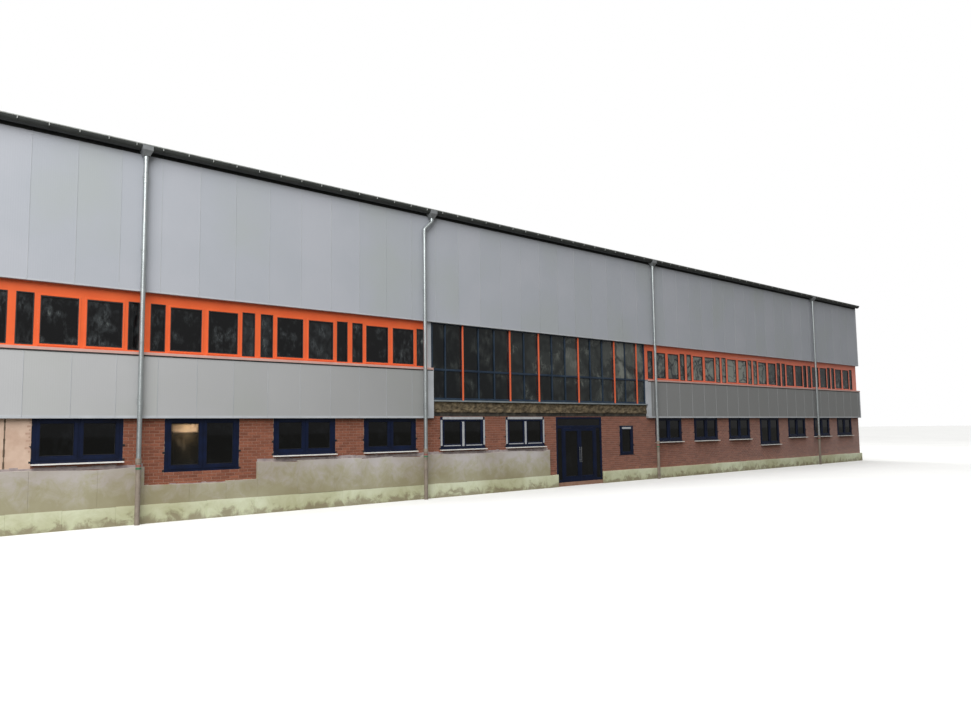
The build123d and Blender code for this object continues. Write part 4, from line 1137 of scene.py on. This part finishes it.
# %% Gutter straps
STRAPS, FIRST_STRAP, STRAP_PITCH = 84, 0.17, 0.3285
STRAP_WIDTH, STRAP_SHEET = 0.012, 0.002
NOSE_HALF, NOSE_REACH, NOSE_DROP, NOSE_RISE = 0.005, 0.012, 0.030, 0.013
straps, noses = bmesh.new(), bmesh.new()
for side in (-1, 1):
    axis_y, nose_y = side * GUTTER_Y, side * (GUTTER_Y + GUTTER_R - 0.003)
    for i in range(STRAPS):
        x = -GUTTER_END + FIRST_STRAP + i * STRAP_PITCH
        strap = bmesh.new()
        bmesh.ops.create_grid(strap, x_segments=1, y_segments=1, size=0.5,
                              matrix=at(x, axis_y + side * (GUTTER_R + 0.001), EAVES_RIM)
                              @ Matrix.Diagonal((STRAP_WIDTH, STRAP_SHEET, 1, 1)))
        bmesh.ops.spin(strap, geom=strap.faces[:] + strap.edges[:] + strap.verts[:],
                       cent=(x, axis_y, EAVES_RIM), axis=(-side, 0, 0), angle=math.pi, steps=12)
        bmesh.ops.recalc_face_normals(strap, faces=strap.faces)
        join(straps, strap)
        join(noses, box((x - NOSE_HALF, nose_y - NOSE_REACH, EAVES_RIM - NOSE_DROP),
                        (x + NOSE_HALF, nose_y + NOSE_REACH, EAVES_RIM + NOSE_RISE), 0.002))
finish_piece(straps, "gutter_straps", gutter_steel_painted_light)
finish_piece(noses, "gutter_strap_noses", painted_highlight_steel)

# %% [markdown]
# ## Downpipes
#
# The downpipes are round galvanised tube. A ring of edges is drawn down like the tube itself, and
# where the pipe turns aside, in a swan neck, the ring is spun about the centre of the bend.

# %% Downpipes
PIPE_R = 0.03
PIPE_FOOT, HOPPER_OUTLET = extent("downpipes")[0][2], extent("rainwater_hoppers")[0][2]
PIPE_XS = (-12.1, -7.6, -3.15, 3.15, 10.775)
SWAN, NECK_SHIFT, NECK_TOP, NECK_FOOT, NECK_RADIUS = 2, 0.155, 4.6262, 4.4762, 0.06
OUTLETS = [x + (NECK_SHIFT if index == SWAN else 0) for index, x in enumerate(PIPE_XS)]


def draw_down(tube, edges, vec):
    made = bmesh.ops.extrude_edge_only(tube, edges=edges)["geom"]
    bmesh.ops.translate(tube, vec=vec, verts=[g for g in made if isinstance(g, bmesh.types.BMVert)])
    return [g for g in made if isinstance(g, bmesh.types.BMEdge)]


def turn(tube, edges, centre, angle):
    verts = list({v for e in edges for v in e.verts})
    made = bmesh.ops.spin(tube, geom=verts + edges, cent=centre, axis=(0, 1, 0), angle=angle, steps=8)
    return [g for g in made["geom_last"] if isinstance(g, bmesh.types.BMEdge)]


def swan_neck(tube, edges, outlet, x, y):
    """Draws the tube from its outlet across to the line of the pipe."""
    angle = math.atan2(NECK_SHIFT, NECK_TOP - NECK_FOOT)
    tangent = NECK_RADIUS * math.tan(angle / 2)
    slant = Vector((x - outlet, 0, NECK_FOOT - NECK_TOP))
    edges = draw_down(tube, edges, (0, 0, NECK_TOP + tangent - HOPPER_OUTLET))
    edges = turn(tube, edges, (outlet - NECK_RADIUS, y, NECK_TOP + tangent), angle)
    edges = draw_down(tube, edges, slant * (1 - 2 * tangent / slant.length))
    edges = turn(tube, edges, (x + NECK_RADIUS, y, NECK_FOOT - tangent), -angle)
    return edges, NECK_FOOT - tangent


pipes = bmesh.new()
for side in (-1, 1):
    y = side * GUTTER_Y
    for index, (x, outlet) in enumerate(zip(PIPE_XS, OUTLETS)):
        tube = bmesh.new()
        bmesh.ops.create_circle(tube, segments=32, radius=PIPE_R, matrix=at(outlet, y, HOPPER_OUTLET))
        edges, z = tube.edges[:], HOPPER_OUTLET
        if index == SWAN:
            edges, z = swan_neck(tube, edges, outlet, x, y)
        draw_down(tube, edges, (0, 0, PIPE_FOOT - z))
        bmesh.ops.recalc_face_normals(tube, faces=tube.faces)
        join(pipes, tube)
finish_piece(pipes, "round_downpipes", galvanised_steel, ["downpipes"], smooth=True)

# %% [markdown]
# Collars cover the joints between lengths of pipe, and clamps with a screw on each side hold the
# pipe off the wall. A collar is a small section spun round the pipe, made once and stamped.

# %% Pipe collars
COLLAR_HEIGHTS = (4.33, 2.98, 1.48)


def collar(inner, outer, height, steps=32):
    """A band round an upright pipe, from zero up, made by spinning its section."""
    small = bmesh.new()
    bmesh.ops.create_grid(small, x_segments=1, y_segments=1, size=0.5,
                          matrix=at((inner + outer) / 2, 0, height / 2)
                          @ Matrix.Rotation(math.pi / 2, 4, "X")
                          @ Matrix.Diagonal((outer - inner, height, 1, 1)))
    bmesh.ops.delete(small, geom=small.faces[:], context="FACES_ONLY")
    bmesh.ops.spin(small, geom=small.edges[:], cent=(0, 0, 0), axis=(0, 0, 1), angle=2 * math.pi,
                   steps=steps, use_merge=True)
    bmesh.ops.remove_doubles(small, verts=small.verts, dist=1e-6)
    bmesh.ops.recalc_face_normals(small, faces=small.faces)
    return small


joint_collar = template(collar(PIPE_R - 0.0005, PIPE_R + 0.0035, 0.05))
thin_collar = template(collar(PIPE_R - 0.0005, PIPE_R + 0.005, 0.01))
collars = bmesh.new()
for side in (-1, 1):
    y = side * GUTTER_Y
    for x, outlet in zip(PIPE_XS, OUTLETS):
        stamp(collars, thin_collar, at(outlet, y, HOPPER_OUTLET - 0.002))
        stamp(collars, joint_collar, at(outlet, y, HOPPER_OUTLET - 0.055))
        for z in COLLAR_HEIGHTS:
            stamp(collars, joint_collar, at(x, y, z))
            stamp(collars, thin_collar, at(x, y, z + 0.046))
finish_piece(collars, "downpipe_collars", galvanised_steel, smooth=True)

# %% Pipe clamps
CLAMP_HEIGHTS = (4.4022, 3.4522, 1.5522)
CLAMP_HEIGHT, EAR_X, SCREW_X, ARM_R = 0.014, 0.039, 0.0405, 0.005
clamp = bmesh.new()
join(clamp, collar(PIPE_R, PIPE_R + 0.003, CLAMP_HEIGHT))
for out in (-1, 1):
    join(clamp, box((out * EAR_X - 0.007, -0.004, 0), (out * EAR_X + 0.007, 0.004, CLAMP_HEIGHT), 0.001))
    join(clamp, bar((out * SCREW_X, -0.007, CLAMP_HEIGHT / 2), (out * SCREW_X, 0.007, CLAMP_HEIGHT / 2),
                    0.004, 6))
clamp = template(clamp)
clamps = bmesh.new()
for side in (-1, 1):
    for x in PIPE_XS:
        for z in CLAMP_HEIGHTS:
            arm_z = z + CLAMP_HEIGHT / 2
            stamp(clamps, clamp, at(x, side * GUTTER_Y, z))
            join(clamps, bar((x, side * (GUTTER_Y - PIPE_R), arm_z), (x, side * CLAD_Y, arm_z), ARM_R))
finish_piece(clamps, "downpipe_clamps", galvanised_steel, ["pipe_clips"])

# %% [markdown]
# ## Standpipes and hoppers
#
# Each downpipe ends in a brown plastic standpipe with a socket. Two coloured bands on it, red and
# green, are left from the factory. The hoppers keep the frame's shape, which is right; they gain the
# rolled rim and the collar that stiffen the real ones.

# %% Standpipes
SOCKET_BORE, SOCKET_FOOT, LIP_FOOT, RED_FOOT, GREEN_FOOT = PIPE_R + 0.0003, 0.76, 0.808, 0.72, 0.685
shaft = template(collar(0.0295, 0.0312, PIPE_FOOT - 0.02))
socket = template(collar(SOCKET_BORE, 0.037, 0.06))
lip = template(collar(SOCKET_BORE, 0.0385, 0.012))
band = template(collar(0.031, 0.0325, 0.02))
standpipes, reds, greens = bmesh.new(), bmesh.new(), bmesh.new()
for side in (-1, 1):
    for x in PIPE_XS:
        for target, mesh, foot in ((standpipes, shaft, 0), (standpipes, socket, SOCKET_FOOT),
                                   (standpipes, lip, LIP_FOOT), (reds, band, RED_FOOT),
                                   (greens, band, GREEN_FOOT)):
            stamp(target, mesh, at(x, side * GUTTER_Y, foot))
finish_piece(standpipes, "round_standpipes", brown_standpipe, ["standpipes"], smooth=True)
finish_piece(reds, "standpipe_red_bands", red_band, smooth=True)
finish_piece(greens, "standpipe_green_bands", green_band, smooth=True)

# %% Hopper rims
RIM_HALF, RIM_Z, RIM_R = 0.064, 4.806, 0.004
HOPPER_BAND_HALF, HOPPER_BAND = 0.0655, (4.750, 4.760)
rims = bmesh.new()
for side in (-1, 1):
    front_y = side * (GUTTER_Y + GUTTER_R + 0.0155)
    rim_y, band_y = front_y - side * 0.0045, front_y - side * 0.003
    for outlet in OUTLETS:
        join(rims, bar((outlet - RIM_HALF, rim_y, RIM_Z), (outlet + RIM_HALF, rim_y, RIM_Z), RIM_R))
        join(rims, box((outlet - HOPPER_BAND_HALF, band_y - 0.002, HOPPER_BAND[0]),
                       (outlet + HOPPER_BAND_HALF, band_y + 0.002, HOPPER_BAND[1]), 0.001))
finish_piece(rims, "hopper_rims", hopper_zinc, smooth=True)

# %% [markdown]
# ## Roof
#
# The roof is trapezoid sheet: ribs run from the ridge to the eaves. Each rib is a box narrowed
# along its top, laid on the slope and repeated every 333 real millimetres.

# %% Roof ribs
RIBS, RIB_PITCH, RIB_HALF, RIB_HEIGHT = 165, 0.1667, 0.012, 0.011
RIDGE_EDGE = 0.152  # just clear of the ridge cap
ROOF_SHEET, SINK_IN = 0.075, 0.0005
rib_z = EAVES + (CLAD_Y - RIDGE_EDGE) * math.tan(ROOF_PITCH) + ROOF_SHEET - SINK_IN
rib = box((-RIB_HALF, 0, 0), (RIB_HALF, (CLAD_Y - RIDGE_EDGE) / math.cos(ROOF_PITCH), RIB_HEIGHT))
bmesh.ops.scale(rib, vec=(0.6, 1, 1), verts=[v for v in rib.verts if v.co.z > RIB_HEIGHT / 2])
rib = template(rib)
ribs = bmesh.new()
for side, heading in ((-1, math.pi), (1, 0)):
    sloped = Matrix.Rotation(heading, 4, "Z") @ Matrix.Rotation(-ROOF_PITCH, 4, "X")
    for i in range(RIBS):
        stamp(ribs, rib, at((i - RIBS // 2) * RIB_PITCH, side * RIDGE_EDGE, rib_z) @ sloped)
finish_piece(ribs, "roof_ribs", roof_coating)

# %% [markdown]
# ## Entrance
#
# The doors are ordinary glazed leaves between side lights, under a fanlight. Their beads, gaskets
# and a pair of bar handles are enough to read as doors from a distance.

# %% Entrance beads and handles
SIDE_LIGHTS = [(0.115, 0.25, 0.115, 1.125), (1.25, 1.385, 0.115, 1.125)]
FANLIGHT = (0.115, 1.385, 1.165, 1.31)
LEAF_PANES = [(0.3403, 0.698, 0.179, 1.071), (0.802, 1.1597, 0.179, 1.071)]
HANDLE_XS, HANDLE_FOOT, HANDLE_TOP, HANDLE_OUT = (0.725, 0.775), 0.45, 0.75, 0.022
beads, gaskets, handles = bmesh.new(), bmesh.new(), bmesh.new()
for x0, x1, z0, z1 in SIDE_LIGHTS + [FANLIGHT] + LEAF_PANES:
    width, height = x1 - x0, z1 - z0
    place = SIDES["front"] @ at((x0 + x1) / 2, (z0 + z1) / 2, GASKET_BACK)
    join(beads, ring(width, height, 0.008, 0.009, 0.0015), place)
    join(gaskets, ring(width - 0.016, height - 0.016, 0.004, 0.002, 0.0005), place)
for x in HANDLE_XS:
    join(handles, bar((x, HANDLE_FOOT, HANDLE_OUT), (x, HANDLE_TOP, HANDLE_OUT), 0.006), SIDES["front"])
    for z in (HANDLE_FOOT + 0.05, HANDLE_TOP - 0.05):
        join(handles, bar((x, z, 0), (x, z, HANDLE_OUT), 0.004), SIDES["front"])
finish_piece(beads, "entrance_beads", navy_window_foil)
finish_piece(gaskets, "entrance_gaskets", black_rubber)
finish_piece(handles, "door_handles", stainless_steel, smooth=True)

# %% [markdown]
# ## The lit wall behind the tall window
#
# One lamp is on inside and lights the top of the wall behind it, which shows through one pane as a
# warm band that fades downwards. A lamp in an empty room would need many samples to look smooth, so
# the wall itself gives off the light, by its height and its distance from the lamp. The dark glass
# takes most of it away, so the numbers are large.

# %% Lit wall
LAMP_X, LAMP_SPREAD = -6.85, 0.18
BRIGHTEST, DIMMEST = 4700.0, 1100.0


def lit_plaster():
    material, tree, place = new_finish("lit_plaster")
    axes = node(tree, "ShaderNodeSeparateXYZ", {"Vector": place}).outputs
    risen = node(tree, "ShaderNodeMapRange", {"Value": axes["Z"], "From Min": 0.7, "From Max": 1.3})
    colour = node(tree, "ShaderNodeValToRGB", {"Fac": risen.outputs["Result"]},
                  [(0.0, "120E09"), (0.4, "261D12"), (0.72, "4E3B25"), (0.755, "E8B488"),
                   (0.89, "E2AC7C"), (0.92, "1A1510")]).outputs["Color"]
    aside = node(tree, "ShaderNodeMath", {0: axes["X"], 1: LAMP_X}, operation="SUBTRACT")
    distance = node(tree, "ShaderNodeMath", {0: aside.outputs["Value"]}, operation="ABSOLUTE")
    strength = node(tree, "ShaderNodeMapRange", {"Value": distance.outputs["Value"],
                                                 "From Max": LAMP_SPREAD, "To Min": BRIGHTEST,
                                                 "To Max": DIMMEST})
    close_finish(tree, {"Base Color": colour, "Roughness": 0.8, "Emission Color": colour,
                        "Emission Strength": strength.outputs["Result"]})
    return material


floor_top = extent("ground_floor_slab")[1][2]
lit_wall = bmesh.new()
lay(lit_wall, (-7.12, -6.6), (floor_top, SLAB_BOTTOM), (-0.36, -0.34))
finish_piece(lit_wall, "lit_wall_behind_window", lit_plaster())

# %% [markdown]
# ## Finishes for the frame
#
# The pieces of the frame that stay in view get the same finishes. The record gives each node its
# slot, so a table from slot to finish does almost all of them, and four nodes differ.

# %% Finishes for the frame
FINISHES = {"concrete": cast_concrete, "brick": cement_mortar, "wall_block": plastered_block,
            "cladding": silver_coated_steel, "orange_frame": orange_powder_coat,
            "navy_frame": navy_window_foil, "black_frame": slate_powder_coat, "glass": insulating_glass,
            "sill_metal": aluminium_sill, "sill_white": white_plastic, "silver_trim": silver_trim,
            "dark_trim": dark_coated_steel, "galvanised": galvanised_steel, "hopper_grey": hopper_zinc,
            "standpipe": brown_standpipe, "green_board": green_foam, "grey_board": grey_foam,
            "roof_sheet": roof_coating}
OWN_FINISH = {"ground_window_glass": ground_glass, "entrance_glass": ground_glass,
              "curtain_wall_ledge": flashing_painted_shade, "head_trims": silver_trim}
slots = {subpart["node"]: subpart["material_slot"] for subpart in frame["record"]["subparts"]}
for name, part in frame["nodes"].items():
    for material_slot in part.material_slots:
        material_slot.material = OWN_FINISH.get(name) or FINISHES[slots[name]]
print("finished", len(frame["nodes"]), "nodes of the frame")

# %% [markdown]
# ## Floor, light and background
#
# The studio is an overcast day: a sky that is brightest overhead, and one large soft lamp near the
# left end, so that the long wall darkens away from the camera as in the photograph. A second lamp
# serves the rear. The sky looks full white to the camera, and its top does in reflections and
# through glass, but it lights the walls at a lower level, so that colours stay true. The floor looks
# pale to the camera and through glass, and throws back only a little light, so that overhangs keep
# their shadows.

# %% Floor
FLOOR_HALF = 300


def studio_paper():
    material, tree, place = new_finish("studio_paper")
    clouds = node(tree, "ShaderNodeTexNoise", {"Vector": place, "Scale": per(6667), "Detail": 3.0})
    pale = node(tree, "ShaderNodeValToRGB", {"Fac": clouds.outputs["Fac"]},
                [(0.3, "E6E6E4"), (0.7, "ECECEA")])
    path = node(tree, "ShaderNodeLightPath").outputs
    seen = node(tree, "ShaderNodeMath", {0: path["Is Camera Ray"], 1: path["Is Transmission Ray"]},
                operation="MAXIMUM")
    colour = node(tree, "ShaderNodeMix", {"Factor": seen.outputs["Value"], "A": linear("5E5D58"),
                                          "B": pale.outputs["Color"]}, data_type="RGBA")
    close_finish(tree, {"Base Color": colour.outputs["Result"], "Roughness": 0.95})
    return material


floor = bmesh.new()
bmesh.ops.create_grid(floor, x_segments=1, y_segments=1, size=FLOOR_HALF)
floor_mesh = template(floor)
floor_mesh.materials.append(studio_paper())
studio_floor = bpy.data.objects.new("studio_floor", floor_mesh)
scene.collection.objects.link(studio_floor)
print("laid", studio_floor.name)

# %% Sky
LIGHT, SHOWN = (0.15, 0.90), (0.28, 1.00)  # strength at the horizon and overhead
world = bpy.data.worlds.new("overcast")
world.use_nodes = True
sky_tree = world.node_tree
sky_tree.nodes.clear()
scene.world = world
path = node(sky_tree, "ShaderNodeLightPath").outputs
ray = node(sky_tree, "ShaderNodeNewGeometry").outputs["Incoming"]  # points back from the sky
falling = node(sky_tree, "ShaderNodeSeparateXYZ", {"Vector": ray}).outputs["Z"]
height = node(sky_tree, "ShaderNodeMath", {0: falling, 1: -1.0}, operation="MULTIPLY").outputs["Value"]
light = node(sky_tree, "ShaderNodeMapRange", {"Value": height, "To Min": LIGHT[0], "To Max": LIGHT[1]})
mirrored = node(sky_tree, "ShaderNodeMapRange", {"Value": height, "To Min": SHOWN[0], "To Max": SHOWN[1]})
shown = node(sky_tree, "ShaderNodeMath", {0: path["Is Glossy Ray"], 1: path["Is Transmission Ray"]},
             operation="MAXIMUM")
indirect = node(sky_tree, "ShaderNodeMix", {"Factor": shown.outputs["Value"], "A": light.outputs["Result"],
                                            "B": mirrored.outputs["Result"]}, data_type="FLOAT")
strength = node(sky_tree, "ShaderNodeMix", {"Factor": path["Is Camera Ray"],
                                            "A": indirect.outputs["Result"], "B": 1.0}, data_type="FLOAT")
sky = node(sky_tree, "ShaderNodeBackground", {"Color": linear("FFFFFF"),
                                              "Strength": strength.outputs["Result"]})
node(sky_tree, "ShaderNodeOutputWorld", {"Surface": sky.outputs["Background"]})
print("sky:", world.name)

# %% Lamps
def soft_lamp(name, place, target, size, energy):
    data = bpy.data.lights.new(name, "AREA")
    data.shape = "DISK"
    data.size = size
    data.energy = energy
    lamp = bpy.data.objects.new(name, data)
    lamp.location = place
    lamp.rotation_euler = (Vector(target) - lamp.location).to_track_quat("-Z", "Y").to_euler()
    scene.collection.objects.link(lamp)


soft_lamp("soft_lamp_front", (-17, -16, 13), (-8, -4.8, 3), 16, 3950)
soft_lamp("soft_lamp_rear", (20, 20, 14), (3, 4.8, 2.5), 12, 3200)
overhead = bpy.data.lights.new("overhead_light", "SUN")
overhead.energy = 1.5
overhead.angle = math.radians(60)
scene.collection.objects.link(bpy.data.objects.new("overhead_light", overhead))
scene.view_settings.view_transform = "Standard"
print("lit by", scene.world.name, "and", len(bpy.data.lights), "lamps")
